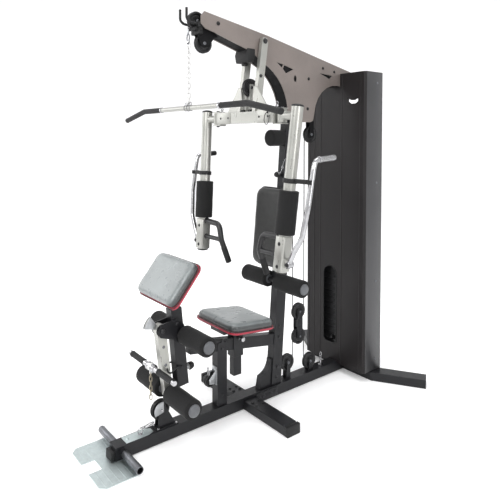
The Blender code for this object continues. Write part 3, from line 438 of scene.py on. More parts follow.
def rubber(name, colour, rough=0.78, grain=240.0, strength=0.5, sheen=0.15):
    """Foam, rubber or moulded plastic with a fine skin texture and slightly dusty high spots."""
    n = Nodes(name)
    skin = n.noise(grain, 5, 0.62)
    cells = n.add("ShaderNodeTexVoronoi", feature="F1")
    cells.inputs["Scale"].default_value = grain * 2.2
    n.link(n.place, "Object", cells, "Vector")
    patches = n.noise(9, 5, 0.6)
    base = n.ramp(patches, "Fac", [(0.3, shaded(colour, 0.82)),
                                   (0.7, shaded(colour, 1.22))])
    dust = n.ramp(skin, "Fac", [(0.40, 0.82), (0.66, 1.10)])
    body = n.mix("MULTIPLY", 0.85, (base, "Color"), (dust, "Color"))
    n.link(body, "Result", n.shader, "Base Color")
    gloss = n.ramp(patches, "Fac", [(0.3, rough), (0.7, min(1, rough * 1.12))])
    n.link(gloss, "Color", n.shader, "Roughness")
    n.set("Sheen Weight", sheen)
    n.set("Sheen Roughness", 0.5)
    n.bump([(skin, "Fac", strength * 0.6, 0.0006), (cells, "Distance", strength, 0.0006)], 0.0015)
    return n.material


def vinyl(name, colour, rough=0.36, coat=0.12, boxing_and_side_shade=1.0):
    """Upholstery vinyl: pebbled grain, satin sheen, slight colour drift and darker sides: partly a
    darker side strip of vinyl, partly painted shade.
    """
    n = Nodes(name)
    pebbles = n.add("ShaderNodeTexVoronoi", feature="DISTANCE_TO_EDGE")
    pebbles.inputs["Scale"].default_value = 360
    pebbles.inputs["Randomness"].default_value = 0.9
    drift = n.noise(180, 3, 0.6)
    warp = n.mix("LINEAR_LIGHT", 0.004, (n.place, "Object"), (drift, "Color"))
    n.link(warp, "Result", pebbles, "Vector")
    valley = n.ramp(pebbles, "Distance", [(0.0, 0.0), (0.16, 1.0)])
    patches = n.noise(7, 4, 0.6)
    crease = n.noise(34, 2, 0.5, (1, 0.4, 1))
    base = n.ramp(patches, "Fac", [(0.3, shaded(colour, 0.88)),
                                   (0.7, shaded(colour, 1.14))])
    # Painted shade: the sides below the cushion's shoulder are darkened by the marked share, partly
    # a darker side strip of vinyl, partly the shade that falls on the sides.
    side = n.add("ShaderNodeAttribute", attribute_name="boxing_and_side_shade")
    shade = n.ramp(side, "Fac", [(0.0, (1, 1, 1)), (1.0, (boxing_and_side_shade, boxing_and_side_shade, boxing_and_side_shade))])
    cover = n.mix("MULTIPLY", 1.0, (base, "Color"), (shade, "Color"))
    body = n.mix("MULTIPLY", 0.14, (cover, "Result"), (valley, "Color"))
    n.link(body, "Result", n.shader, "Base Color")
    gloss = n.ramp(crease, "Fac", [(0.35, rough * 1.2), (0.68, rough * 0.85)])
    n.link(gloss, "Color", n.shader, "Roughness")
    n.set("Specular IOR Level", 0.55)
    n.set("Sheen Weight", 0.12)
    n.set("Coat Weight", coat)
    n.set("Coat Roughness", 0.30)
    n.bump([(valley, "Color", 0.14, 0.00020)])
    return n.material


def grip_rubber(name, colour, ribs, axis=0, rough=0.6):
    """Moulded hand-grip rubber with fine ribs every 1/ribs metres along one axis."""
    n = Nodes(name)
    turn = [(0, 0, 0), (0, 0, math.radians(90)), (0, math.radians(90), 0)][axis]
    mapping = n.add("ShaderNodeMapping")
    mapping.inputs["Rotation"].default_value = turn
    n.link(n.place, "Object", mapping, "Vector")
    wave = n.add("ShaderNodeTexWave", bands_direction="X")
    wave.inputs["Scale"].default_value = ribs * 2 * math.pi / 20
    wave.inputs["Distortion"].default_value = 0.15
    n.link(mapping, "Vector", wave, "Vector")
    skin = n.noise(400, 4)
    tone = n.ramp(wave, "Fac", [(0.15, shaded(colour, 0.55)), (0.7, colour)])
    patch = n.ramp(n.noise(12, 4), "Fac", [(0.3, 0.85), (0.7, 1.15)])
    body = n.mix("MULTIPLY", 1.0, (tone, "Color"), (patch, "Color"))
    n.link(body, "Result", n.shader, "Base Color")
    n.set("Roughness", rough)
    n.bump([(wave, "Fac", 0.6, 0.0009), (skin, "Fac", 0.2, 0.0003)])
    return n.material


def wire_rope(name, colour, rough=0.4):
    """Nylon-coated steel rope: a faint twist of strands under a glossy jacket."""
    n = Nodes(name)
    wave = n.add("ShaderNodeTexWave", bands_direction="DIAGONAL")
    wave.inputs["Scale"].default_value = 210
    wave.inputs["Distortion"].default_value = 0.6
    n.link(n.place, "Object", wave, "Vector")
    tone = n.ramp(wave, "Fac", [(0.2, shaded(colour, 0.6)), (0.8, colour)])
    n.link(tone, "Color", n.shader, "Base Color")
    n.set("Roughness", rough)
    n.set("Coat Weight", 0.4)
    n.set("Coat Roughness", 0.2)
    n.bump([(wave, "Fac", 0.35, 0.0005)])
    return n.material


def knurled(name, colour):
    """Chrome with a crossed diamond knurl."""
    n = Nodes(name)
    lines = []
    for angle in (40, -40):
        mapping = n.add("ShaderNodeMapping")
        mapping.inputs["Rotation"].default_value = (math.radians(angle), 0, math.radians(angle))
        n.link(n.place, "Object", mapping, "Vector")
        wave = n.add("ShaderNodeTexWave")
        wave.inputs["Scale"].default_value = 120
        n.link(mapping, "Vector", wave, "Vector")
        lines.append(wave)
    cross = n.mix("MULTIPLY", 1.0, (lines[0], "Color"), (lines[1], "Color"))
    tone = n.ramp(cross, "Result", [(0.05, shaded(colour, 0.45)), (0.5, colour)])
    n.link(tone, "Color", n.shader, "Base Color")
    n.set("Metallic", 1.0)
    n.set("Roughness", 0.26)
    n.bump([(cross, "Result", 0.6, 0.0008)])
    return n.material


def opal(name):
    """A milky plastic with a painted glow: its emission stands in for the daylight behind it."""
    n = Nodes(name)
    cloud = n.ramp(n.noise(40, 4), "Fac", [(0.3, (0.80, 0.80, 0.80)), (0.7, (0.95, 0.95, 0.95))])
    n.link(cloud, "Color", n.shader, "Base Color")
    n.set("Roughness", 0.35)
    n.link(cloud, "Color", n.shader, "Emission Color")
    n.set("Emission Strength", 0.55)
    return n.material


BLACK = painted("satin_black_paint", (0.015, 0.0152, 0.0175), rough=0.38, wear=0.07, coat=0.12,
                shine=0.38)
BOOM_GREY = painted("champagne_grey_paint", (0.235, 0.205, 0.190), rough=0.40, metallic=0.35,
                    wear=0.16, wear_colour=(0.45, 0.43, 0.42), coat=0.35)
SILVER = painted("silver_paint", (0.40, 0.40, 0.375), rough=0.30, metallic=0.62, orange_peel=0.22,
                 wear=0.20, wear_colour=(0.75, 0.75, 0.72), coat=0.4, tint=0.05)
MATTE = painted("matte_black_paint", (0.010, 0.010, 0.011), rough=0.62, wear=0.04, coat=0.0,
                shine=0.22)
SHROUD = painted("shroud_brown_black", (0.0155, 0.0132, 0.0138), rough=0.42, wear=0.05,
                 orange_peel=0.5, coat=0.08, shine=0.34)
PLATE_IRON = painted("cast_iron_paint", (0.020, 0.020, 0.022), rough=0.5, wear=0.25,
                     orange_peel=0.9, coat=0.1)
HANDLE_GREY = painted("handle_grey_paint", (0.030, 0.030, 0.031), rough=0.34, metallic=0.3,
                      wear=0.15)
CHROME = metal("chrome", (0.50, 0.50, 0.51), rough=0.13, grime=0.35)
STEEL = metal("zinc_steel", (0.42, 0.43, 0.44), rough=0.27, brushed=0.05, axis=0)
FOOT_ZINC = metal("zinc_sheet", (0.60, 0.66, 0.66), rough=0.40, brushed=0.10, axis=1, grime=0.14)
BLACK_OXIDE = metal("black_oxide", (0.085, 0.085, 0.088), rough=0.34, grime=0.3)
CHAIN_ZINC = metal("chain_zinc", (0.74, 0.74, 0.73), rough=0.30, grime=0.12)
GUNMETAL = metal("gunmetal", (0.22, 0.225, 0.24), rough=0.30, brushed=0.05, axis=0)
DARK_BRASS = metal("dull_chain", (0.42, 0.38, 0.30), rough=0.32, grime=0.45)
FOAM = rubber("roller_foam", (0.0125, 0.0125, 0.0128), rough=0.88, grain=260, strength=0.55,
              sheen=0.06)
RUBBER = rubber("rubber", (0.011, 0.011, 0.0115), rough=0.55, grain=420, strength=0.3, sheen=0.03)
NYLON = rubber("pulley_nylon", (0.018, 0.018, 0.019), rough=0.34, grain=520, strength=0.10,
               sheen=0.0)
CAP_GREY = rubber("cap_plastic", (0.115, 0.12, 0.128), rough=0.34, grain=520, strength=0.15)
WHITE_NYLON = rubber("white_nylon", (0.72, 0.72, 0.70), rough=0.4, grain=520, strength=0.1)
# The pale grey of the pad tops is partly a painted highlight, the light falling on them; their
# sides are painted down to 0.29 of it, partly a darker side strip, partly painted shade.
VINYL = vinyl("grey_vinyl_painted_highlight", (0.205, 0.224, 0.226), rough=0.30, coat=0.30, boxing_and_side_shade=0.29)
BACK_VINYL = vinyl("slate_vinyl", (0.0175, 0.0178, 0.0172), rough=0.45)
CRIMSON = vinyl("crimson_vinyl", (0.38, 0.022, 0.050), rough=0.38)
GRIP = grip_rubber("grip_rubber", (0.014, 0.014, 0.0145), 260, axis=0)
GRIP_UP = grip_rubber("grip_rubber_upright", (0.014, 0.014, 0.0145), 260, axis=2)
ROPE = wire_rope("coated_rope", (0.030, 0.030, 0.032))
KNURL = knurled("knurled_chrome", (0.66, 0.66, 0.67))
OPAL = opal("opal_window")
# The shroud's sides are painted lighter than its front: partly the side panels' own grey, partly
# painted light on the side that faces the light.
SIDE_GREY_AND_LIGHT = painted("side_panel_grey_and_light", (0.080, 0.080, 0.083), rough=0.34, metallic=0.45,
                    wear=0.10, coat=0.3, tint=0.10)


# ---------------------------------------------------------------- driving places, from the frame

REAR = low("rear_foot").y          # the machine's lengths are measured forward from this edge
BEAM_TOP = 0.0645                  # top of the base beams
PLATE_PITCH = 0.0385               # from one weight plate to the next


def at(x, y, z):
    """A point whose y is counted from the rear foot's front edge."""
    return Vector((x, y + REAR, z))


# ---------------------------------------------------------------- soft goods

def rounded_rectangle(half_x, half_y, corner, steps=8, taper=0.0):
    """Outline points anticlockwise; taper narrows the far end by that share."""
    points = []
    for cx, cy, start in ((1, 1, 0), (-1, 1, 90), (-1, -1, 180), (1, -1, 270)):
        for k in range(steps + 1):
            turn = math.radians(start + 90 * k / steps)
            x = cx * (half_x - corner) + corner * math.cos(turn)
            y = cy * (half_y - corner) + corner * math.sin(turn)
            points.append((x * (1 - taper * (y + half_y) / (2 * half_y)), y))
    return points


CLOTH_FRAMES = 20
CLOTH_PULL = 0.010                         # longest shift taken from the cloth
CLOTH_SHARE = Vector((0.15, 0.15, 0.6))    # the part of the shift that is kept on each axis
CROWN = 0.0035                             # rise of the face's middle, added by formula


def cushion(name, half_x, half_y, thick, corner, place, material, taper=0.0):
    """A crowned cushion: a cut slab puffed up by cloth pressure, damped, kept to its own box.

    place takes the cushion's own axes (x across, y along, z out of the face, 0 on the board)
    to the row frame.
    """
    outline = rounded_rectangle(half_x - 0.004, half_y - 0.004, corner, 8, taper)
    bm = bmesh.new()
    levels = ((0.0, -0.004), (thick * 0.30, 0.0), (thick * 0.66, 0.0), (thick * 0.86, -0.006),
              (thick * 0.96, -0.017))
    rings = []
    for z, inset in levels:
        ring_verts = []
        for x, y in outline:
            out = Vector((x, y)).normalized() * inset
            ring_verts.append(bm.verts.new((x + out.x, y + out.y, z)))
        rings.append(ring_verts)
    bridge(bm, rings)
    close_ends(bm, rings)
    thing = mesh_object(name, bm, material)
    scene.view_layers[0].objects.active = thing
    remesh = thing.modifiers.new("Remesh", "REMESH")
    remesh.mode, remesh.voxel_size, remesh.use_smooth_shade = "VOXEL", 0.0055, True
    apply_modifiers(thing)
    rest = [v.co.copy() for v in thing.data.vertices]
    cloth = thing.modifiers.new("Cloth", "CLOTH")
    cloth.settings.use_pressure = True
    cloth.settings.uniform_pressure_force = 4.0
    cloth.settings.effector_weights.gravity = 0.0
    cloth.settings.quality = 6
    cloth.settings.tension_stiffness = 22
    cloth.settings.compression_stiffness = 22
    cloth.settings.bending_stiffness = 2.0
    for step in range(1, CLOTH_FRAMES + 1):
        scene.frame_set(step)
    apply_modifiers(thing)
    scene.frame_set(1)
    for vertex, start in zip(thing.data.vertices, rest):
        shift = vertex.co - start
        if shift.length > CLOTH_PULL:
            shift *= CLOTH_PULL / shift.length
        share = min(1.0, max(0.0, start.z / (thick * 0.35)))
        edge = 1 - max(abs(start.x) / half_x, abs(start.y) / half_y) ** 4
        crown = CROWN * max(0.0, edge) if start.z > thick * 0.8 else 0.0
        co = start + shift * CLOTH_SHARE * share + Vector((0, 0, crown))
        co.x = max(-half_x, min(half_x, co.x))
        co.y = max(-half_y, min(half_y, co.y))
        co.z = max(0.0, min(thick + 0.004, co.z))
        vertex.co = co
    smooth = thing.modifiers.new("Smooth", "SMOOTH")
    smooth.factor, smooth.iterations = 0.5, 24
    apply_modifiers(thing)
    thing.data.transform(place)
    return thing


def apply_modifiers(thing):
    """Bakes the modifiers into the mesh."""
    dg = bpy.context.evaluated_depsgraph_get()
    mesh = bpy.data.meshes.new_from_object(thing.evaluated_get(dg), depsgraph=dg)
    old = thing.data
    thing.modifiers.clear()
    thing.data = mesh
    bpy.data.meshes.remove(old)
    for face in mesh.polygons:
        face.use_smooth = True


def seam_loop(bm, half_x, half_y, corner, z, radius, place, inset=0.0, taper=0.0):
    """Adds a piping cord round the cushion's outline at one height."""
    outline = rounded_rectangle(half_x - inset, half_y - inset, corner - inset, 10, taper)
    sweep(bm, [place @ Vector((x, y, z)) for x, y in outline], radius, 10, closed=True)


def mark_side_shade(soft, place, shoulder):
    """Marks the cushion's points below its shoulder, whose colour is painted darker: partly a
    darker side strip of vinyl, partly painted shade.
    """
    marks = soft.data.color_attributes.new(name="boxing_and_side_shade", type="FLOAT_COLOR", domain="POINT")
    to_pad = place.inverted()
    for vertex, mark in zip(soft.data.vertices, marks.data):
        below = min(1.0, max(0.0, (shoulder - (to_pad @ vertex.co).z) / 0.006 + 0.5))
        mark.color = (below, below, below, 1.0)


def upholstered(name, node, body, half_x, half_y, thick, corner, place, material, band, taper=0.0):
    """A pad: its puffed cushion with sides painted darker (partly a darker side strip, partly
    painted shade), a trim band, piping and a board.
    """
    board_thick, trim = 0.009, thick * 0.31
    soft_place = place @ Matrix.Translation((0, 0, board_thick))
    soft = cushion(name, half_x, half_y, thick - board_thick - 0.002, corner, soft_place, material,
                   taper)
    # Painted shade on the cushion's sides, below its shoulder.
    mark_side_shade(soft, soft_place, 0.78 * (thick - board_thick))
    stand_for(soft, body, "vinyl", node)
    bm = bmesh.new()
    profile = ((board_thick * 0.6, -0.003), (board_thick, -0.0006), (trim * 0.55, 0.0004),
               (trim - 0.001, -0.0002), (trim + 0.0015, -0.0035))
    outline = rounded_rectangle(half_x, half_y, corner, 10, taper)
    rings = []
    for z, grow in profile:
        rings.append([bm.verts.new(place @ Vector((x + grow * x / math.hypot(x, y),
                                                   y + grow * y / math.hypot(x, y), z)))
                      for x, y in outline])
    inner = [bm.verts.new(place @ Vector((x * 0.93, y * 0.93, board_thick * 0.6)))
             for x, y in outline]
    inner_top = [bm.verts.new(place @ Vector((x * 0.93, y * 0.93, trim))) for x, y in outline]
    bridge(bm, [inner_top, inner] + rings + [inner_top])
    piece(bm, name + "_band", band, body, "vinyl")
    bm = bmesh.new()
    seam_loop(bm, half_x, half_y, corner, trim + 0.0008, 0.0019, place, 0.0012, taper)
    piece(bm, name + "_piping", BACK_VINYL, body, "vinyl")
    bm = bmesh.new()
    lower = [place @ Vector((x, y, 0.0006)) for x, y in
             rounded_rectangle(half_x * 0.95, half_y * 0.95, corner, 8, taper)]
    slab(bm, lower, place.to_3x3() @ Vector((0, 0, 1)), board_thick, 0.001)
    for sx in (-1, 1):
        for sy in (-0.55, 0.55):
            spot = place @ Vector((sx * half_x * 0.5, sy * half_y, 0.0006))
            bolt(bm, spot, place.to_3x3() @ Vector((0, 0, -1)), 0.005)
    piece(bm, name + "_board", RUBBER, body, "knob_plastic")


def tilted(origin, along):
    """The matrix of a pad whose y axis runs along the given direction in the YZ plane."""
    along = Vector(along).normalized()
    across = Vector((1, 0, 0))
    out = across.cross(along)
    place = Matrix((across, along, out)).transposed().to_4x4()
    place.translation = origin
    return place


SEAT_FRONT, SEAT_BACK = at(0, -0.985, 0.537), at(0, -0.683, 0.502)
PREACHER_LOW, PREACHER_HIGH = at(0, -1.351, 0.709), at(0, -1.201, 0.893)
SEAT_THICK = 0.055
PAD_HALF = 0.180                   # half the width of the seat and the arm pad
BACK_TILT = math.radians(-5.5)


def pad_place(start, end, thick):
    """A pad's matrix from the two ends of its face; z is 0 on the underside."""
    place = tilted((start + end) / 2, end - start)
    return place @ Matrix.Translation((0, 0, -thick))


def build_pads():
    upholstered("seat_cushion", "seat_pad", "seat", PAD_HALF, (SEAT_BACK - SEAT_FRONT).length / 2,
                SEAT_THICK, 0.045, pad_place(SEAT_FRONT, SEAT_BACK, SEAT_THICK), VINYL,
                CRIMSON, 0.09)
    upholstered("preacher_cushion", "preacher_pad", "preacher", PAD_HALF,
                (PREACHER_HIGH - PREACHER_LOW).length / 2, SEAT_THICK, 0.035,
                pad_place(PREACHER_LOW, PREACHER_HIGH, SEAT_THICK), VINYL, CRIMSON)
    centre = at(0, -0.578, 0.965)
    up = Vector((0, -math.sin(BACK_TILT), math.cos(BACK_TILT)))
    place = tilted(centre, up) @ Matrix.Translation((0, 0, -0.025))
    upholstered("back_cushion", "backrest_pad", "frame", 0.145, 0.225, 0.050, 0.050, place,
                BACK_VINYL, BACK_VINYL)


def foam_tube(bm, start, end, inner, outer, waves=3):
    """Adds a foam sleeve: soft rounded ends and a barely uneven wall round its bar."""
    start, end = Vector(start), Vector(end)
    long, soft = (end - start).length, 0.007
    profile = [(0.0005, inner), (0, outer * 0.62), (0.0012, outer * 0.90),
               (soft * 0.45, outer * 0.975), (soft, outer)]
    for k in range(1, 24):
        share = k / 24
        swell = 1 + 0.010 * math.sin(share * math.pi * waves + outer * 90) - 0.006 * (1 - share)
        profile.append((soft + (long - 2 * soft) * share, outer * min(1.0, swell)))
    profile += [(long - soft, outer), (long - soft * 0.45, outer * 0.975),
                (long - 0.0012, outer * 0.90), (long, outer * 0.62), (long - 0.0005, inner)]
    lathe(bm, profile, start, end - start, 48)


def lobed_cap(bm, place, axis, radius, lobes=5, thick=0.012):
    """Adds a moulded end cap with shallow lobes round its face."""
    place, axis = Vector(place), Vector(axis).normalized()
    side = axis.orthogonal().normalized()
    up = axis.cross(side)
    rings = []
    for along, share, wave in ((0, 0.98, 0), (thick * 0.35, 1.0, 0.05), (thick * 0.75, 0.90, 0.07),
                               (thick, 0.62, 0.06), (thick * 0.86, 0.34, 0.0)):
        points = []
        for turn in turns(60):
            r = radius * share * (1 - wave + wave * math.cos(lobes * turn))
            points.append(bm.verts.new(place + axis * along + side * (r * math.cos(turn))
                                       + up * (r * math.sin(turn))))
        rings.append(points)
    bridge(bm, rings)
    close_ends(bm, rings)


CAP_DOME = [(0, 0), (0, 0.0290), (0.0035, 0.0300), (0.0075, 0.0290), (0.0105, 0.0262),
            (0.0125, 0.0222), (0.0140, 0.0160), (0.0148, 0.0090), (0.0152, 0)]


def build_rollers():
    """The six foam rollers with their grey caps."""
    for name, body in (("lumbar_roller", "frame"), ("upper_roller", "frame"),
                       ("lower_roller", "leg")):
        for sign, word in SIDES:
            node = f"{name}_{word}"
            corner_a, corner_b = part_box(node)
            centre = middle(node)
            inner_x = min(abs(corner_a.x), abs(corner_b.x))
            outer_x = max(abs(corner_a.x), abs(corner_b.x))
            outer = (corner_b.z - corner_a.z) / 2
            start = Vector((sign * (inner_x + 0.002), centre.y, centre.z))
            end = Vector((sign * (outer_x - 0.009), centre.y, centre.z))
            bm = bmesh.new()
            foam_tube(bm, start, end, 0.0135, outer)
            foam = piece(bm, f"{node}_foam", FOAM, body, "foam", node)
            bm = bmesh.new()
            lathe(bm, CAP_DOME, end - Vector((sign * 0.001, 0, 0)), (sign, 0, 0), 48)
            lathe(bm, [(0, 0), (0, 0.024), (0.003, 0.024), (0.003, 0)],
                  start - Vector((sign * 0.0025, 0, 0)), (sign, 0, 0), 32)
            piece(bm, f"{node}_cap", CAP_GREY, body, "knob_plastic")
    corner_a, corner_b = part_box("back_buffer")
    centre = (corner_a + corner_b) / 2
    bm = bmesh.new()
    foam_tube(bm, (0, corner_b.y, centre.z), (0, corner_a.y, centre.z), 0.010,
              (corner_b.z - corner_a.z) / 2, 1)
    lathe(bm, [(0, 0), (0, 0.017), (0.0015, 0.016), (0.002, 0)], (0, corner_a.y + 0.0015, centre.z),
          (0, -1, 0), 32)
    bumper = piece(bm, "back_bumper_foam", FOAM, "frame", "foam", "back_buffer")


# ---------------------------------------------------------------- press station

ARM_TOP, ARM_BOTTOM = at(0.388, -0.755, 1.625), at(0.344, -0.823, 0.810)
FLY_X, CROSS_Y, CROSS_Z = 0.278, -0.755, 1.580
LEVER_FOOT = at(0.398, -0.818, 0.862)
ARM_RADIUS, HANDLE_RADIUS, BRACE_RADIUS, LEVER_RADIUS = 0.030, 0.0155, 0.0125, 0.0125
CLIP_LEVEL = 1.262                 # where the outer lever is clipped to the arm
CLIP_REST = at(0.5002, -0.7737, CLIP_LEVEL)
HANDLE_REACH = 0.180               # from the arm's centre line in to the handle
SHOE_LOW, SHOE_TOP = 0.822, 0.992  # ends of the square shoe on the arm
FOAM_LOW, FOAM_TOP = 1.000, 1.215


def on_arm(z):
    """The point of the right arm's centre line at a height."""
    return ARM_TOP.lerp(ARM_BOTTOM, (ARM_TOP.z - z) / (ARM_TOP.z - ARM_BOTTOM.z))


def flipped(points, sign):
    """The points on the right (+1) or mirrored to the left (-1)."""
    return [Vector((p[0] * sign, p[1], p[2])) for p in points]


def cap(bm, place, axis, radius, tall=0.008):
    """Adds a domed tube plug."""
    lathe(bm, [(-0.002, 0), (-0.002, radius * 1.03), (0.002, radius * 1.05),
               (tall * 0.55, radius * 0.9), (tall * 0.9, radius * 0.5), (tall, 0)], place, axis, 36)


def build_arm(sign, word):
    body = "arm_" + word
    flip = Vector((sign, 1, 1))
    top, bottom = ARM_TOP * flip, ARM_BOTTOM * flip
    down = (bottom - top).normalized()
    bm = bmesh.new()
    sweep(bm, [top - down * -0.003, top.lerp(bottom, 0.5), bottom - down * 0.006], ARM_RADIUS, 40)
    crank = [at(FLY_X * sign, CROSS_Y, CROSS_Z), at(0.386 * sign, CROSS_Y, CROSS_Z)]
    sweep(bm, crank, 0.022, 32)
    lathe(bm, [(0, 0.007), (0, 0.0235), (0.0015, 0.025), (0.0645, 0.025), (0.066, 0.0235),
               (0.066, 0.007)], at(FLY_X * sign, CROSS_Y, CROSS_Z - 0.033), (0, 0, 1), 40)
    for share in (0.27, 0.73):
        ring(bm, crank[0].lerp(crank[1], share), (1, 0, 0), 0.0218, 0.0009, 40, 6)
    shoe_top, shoe_low = on_arm(SHOE_TOP) * flip, on_arm(SHOE_LOW) * flip
    across, front = Vector((1, 0, 0)), down.cross(Vector((1, 0, 0))).normalized()
    outline = [shoe_low + across * (0.0325 * cx) + front * (0.0305 * cy)
               for cx, cy in rounded_rectangle(1, 1, 0.28, 5)]
    slab(bm, outline, -down, (shoe_top - shoe_low).length, 0.002)
    lug = [shoe_low + Vector((sign * x, y, z)) for x, y, z in
           ((0.030, -0.016, 0.022), (0.056, -0.014, 0.026), (0.056, -0.014, 0.058),
            (0.030, -0.016, 0.070))]
    slab(bm, lug if sign > 0 else list(reversed(lug)), (0, 1, 0), 0.030, 0.0015)
    piece(bm, f"fly_tube_{word}", SILVER, body, "arm_silver", "fly_arm_" + word)

    bm = bmesh.new()
    cap(bm, top, -down, ARM_RADIUS, 0.010)
    cap(bm, bottom - down * 0.006, down, ARM_RADIUS, 0.009)
    piece(bm, f"fly_caps_{word}", RUBBER, body, "knob_plastic")

    grip_top, grip_mid = on_arm(0.985), on_arm(0.895)
    loop = [grip_top, (grip_top.x - HANDLE_REACH + 0.020, grip_top.y, grip_top.z - 0.005),
            (grip_mid.x - HANDLE_REACH, grip_mid.y + 0.004, grip_mid.z),
            (grip_mid.x - HANDLE_REACH, grip_mid.y + 0.055, 0.765)]
    bm = bmesh.new()
    path = rounded_path(flipped(loop, sign), 0.048, 10)
    sweep(bm, path, HANDLE_RADIUS, 24)
    brace = flipped([grip_mid, (grip_mid.x - HANDLE_REACH, grip_mid.y + 0.004, grip_mid.z)], sign)
    sweep(bm, brace, BRACE_RADIUS, 20)
    for foot, radius in ((grip_top, HANDLE_RADIUS), (grip_mid, BRACE_RADIUS)):
        spot = Vector((foot.x * sign, foot.y, foot.z)) - Vector((sign * 0.0325, 0, 0))
        ring(bm, spot, (1, 0, 0), radius + 0.0006, 0.0018, 28, 8)
    ring(bm, brace[1] + Vector((sign * 0.014, 0, 0)), (1, 0, 0), BRACE_RADIUS + 0.0004, 0.0016,
         28, 8)
    piece(bm, f"fly_handle_{word}", HANDLE_GREY, body, "frame_black")
    bm = bmesh.new()
    cap(bm, path[-1], path[-1] - path[-2], HANDLE_RADIUS, 0.006)
    lean = (path[-1] - path[-2]).normalized()
    lathe(bm, [(0, 0.0120), (0, HANDLE_RADIUS + 0.0012), (0.090, HANDLE_RADIUS + 0.0012),
               (0.092, HANDLE_RADIUS + 0.0004), (0.092, 0.0120)], path[-1], -lean, 28)
    piece(bm, f"fly_grip_{word}", GRIP_UP, body, "knob_plastic")

    bm = bmesh.new()
    for level in (0.955, 0.845):
        spot = on_arm(level) * flip
        for face in (-1, 1):
            domed_bolt(bm, spot + front * (0.030 * face), front * face, 0.0075)
    piece(bm, f"fly_bolts_{word}", RUBBER, body, "iron")

    bm = bmesh.new()
    foam_tube(bm, on_arm(FOAM_TOP) * flip, on_arm(FOAM_LOW) * flip, ARM_RADIUS + 0.0006, 0.050, 4)
    foam = piece(bm, f"fly_foam_sleeve_{word}", FOAM, body, "foam", "fly_foam_" + word)

    clip_at = on_arm(CLIP_LEVEL) * flip
    lever_at = CLIP_REST * flip
    bm = bmesh.new()
    lathe(bm, [(-0.011, ARM_RADIUS + 0.0003), (-0.011, 0.0345), (-0.009, 0.0360), (0.009, 0.0360),
               (0.011, 0.0345), (0.011, ARM_RADIUS + 0.0003)], clip_at, -down, 40)
    run = lever_at - clip_at
    run.z = 0
    gap = run.normalized()
    a, b = clip_at + gap * 0.033, lever_at - gap * 0.0165
    wide = Vector((-gap.y, gap.x, 0)) * 0.011
    slab(bm, [a - wide - Vector((0, 0, 0.010)), b - wide - Vector((0, 0, 0.010)),
              b + wide - Vector((0, 0, 0.010)), a + wide - Vector((0, 0, 0.010))],
         (0, 0, 1), 0.020, 0.002)
    points = []
    for k in range(15):
        turn = math.radians(-140 + 280 * k / 14)
        points.append(lever_at - gap * (0.0160 * math.cos(turn))
                      + Vector((-gap.y, gap.x, 0)) * (0.0160 * math.sin(turn)))
    for shift in (-0.0075, -0.0025, 0.0025, 0.0075):
        sweep(bm, [p + Vector((0, 0, shift)) for p in points], 0.0030, 8)
    piece(bm, f"lever_clip_{word}", RUBBER, body, "knob_plastic")


def build_lever(sign, word):
    body = "lever_" + word
    flip = Vector((sign, 1, 1))
    foot = LEVER_FOOT
    path = [foot, foot + Vector((0.030, 0, 0.060)), at(0.476, -0.808, 1.000),
            at(0.498, -0.790, 1.150), at(0.502, -0.760, 1.325), at(0.502, -0.748, 1.365),
            at(0.502, -0.620, 1.375)]
    path = rounded_path(flipped(path, sign), 0.055, 10)
    bm = bmesh.new()
    sweep(bm, path, LEVER_RADIUS, 28)
    place = foot * flip
    lathe(bm, [(0, 0), (0, 0.0165), (0.0015, 0.018), (0.0345, 0.018), (0.036, 0.0165), (0.036, 0)],
          place - Vector((0, 0.018, 0)), (0, 1, 0), 36)
    piece(bm, f"lever_tube_{word}", CHROME, body, "chrome", "outer_lever_" + word)
    bm = bmesh.new()
    for face in (-1, 1):
        bolt(bm, place + Vector((0, 0.018 * face, 0)), (0, face, 0), 0.0075)
    piece(bm, f"lever_bolt_{word}", BLACK_OXIDE, body, "chrome")
    end, along = path[-1], (path[-1] - path[-2]).normalized()
    bm = bmesh.new()
    grip = LEVER_RADIUS + 0.0022
    lathe(bm, [(-0.105, LEVER_RADIUS), (-0.105, grip), (-0.103, grip + 0.0012), (-0.098, grip),
               (-0.002, grip), (0.002, grip - 0.001), (0.004, grip * 0.6), (0.0045, 0)],
          end, along, 36)
    material = KNURL if sign > 0 else GRIP
    piece(bm, f"lever_grip_{word}", material, body, "chrome" if sign > 0 else "knob_plastic")


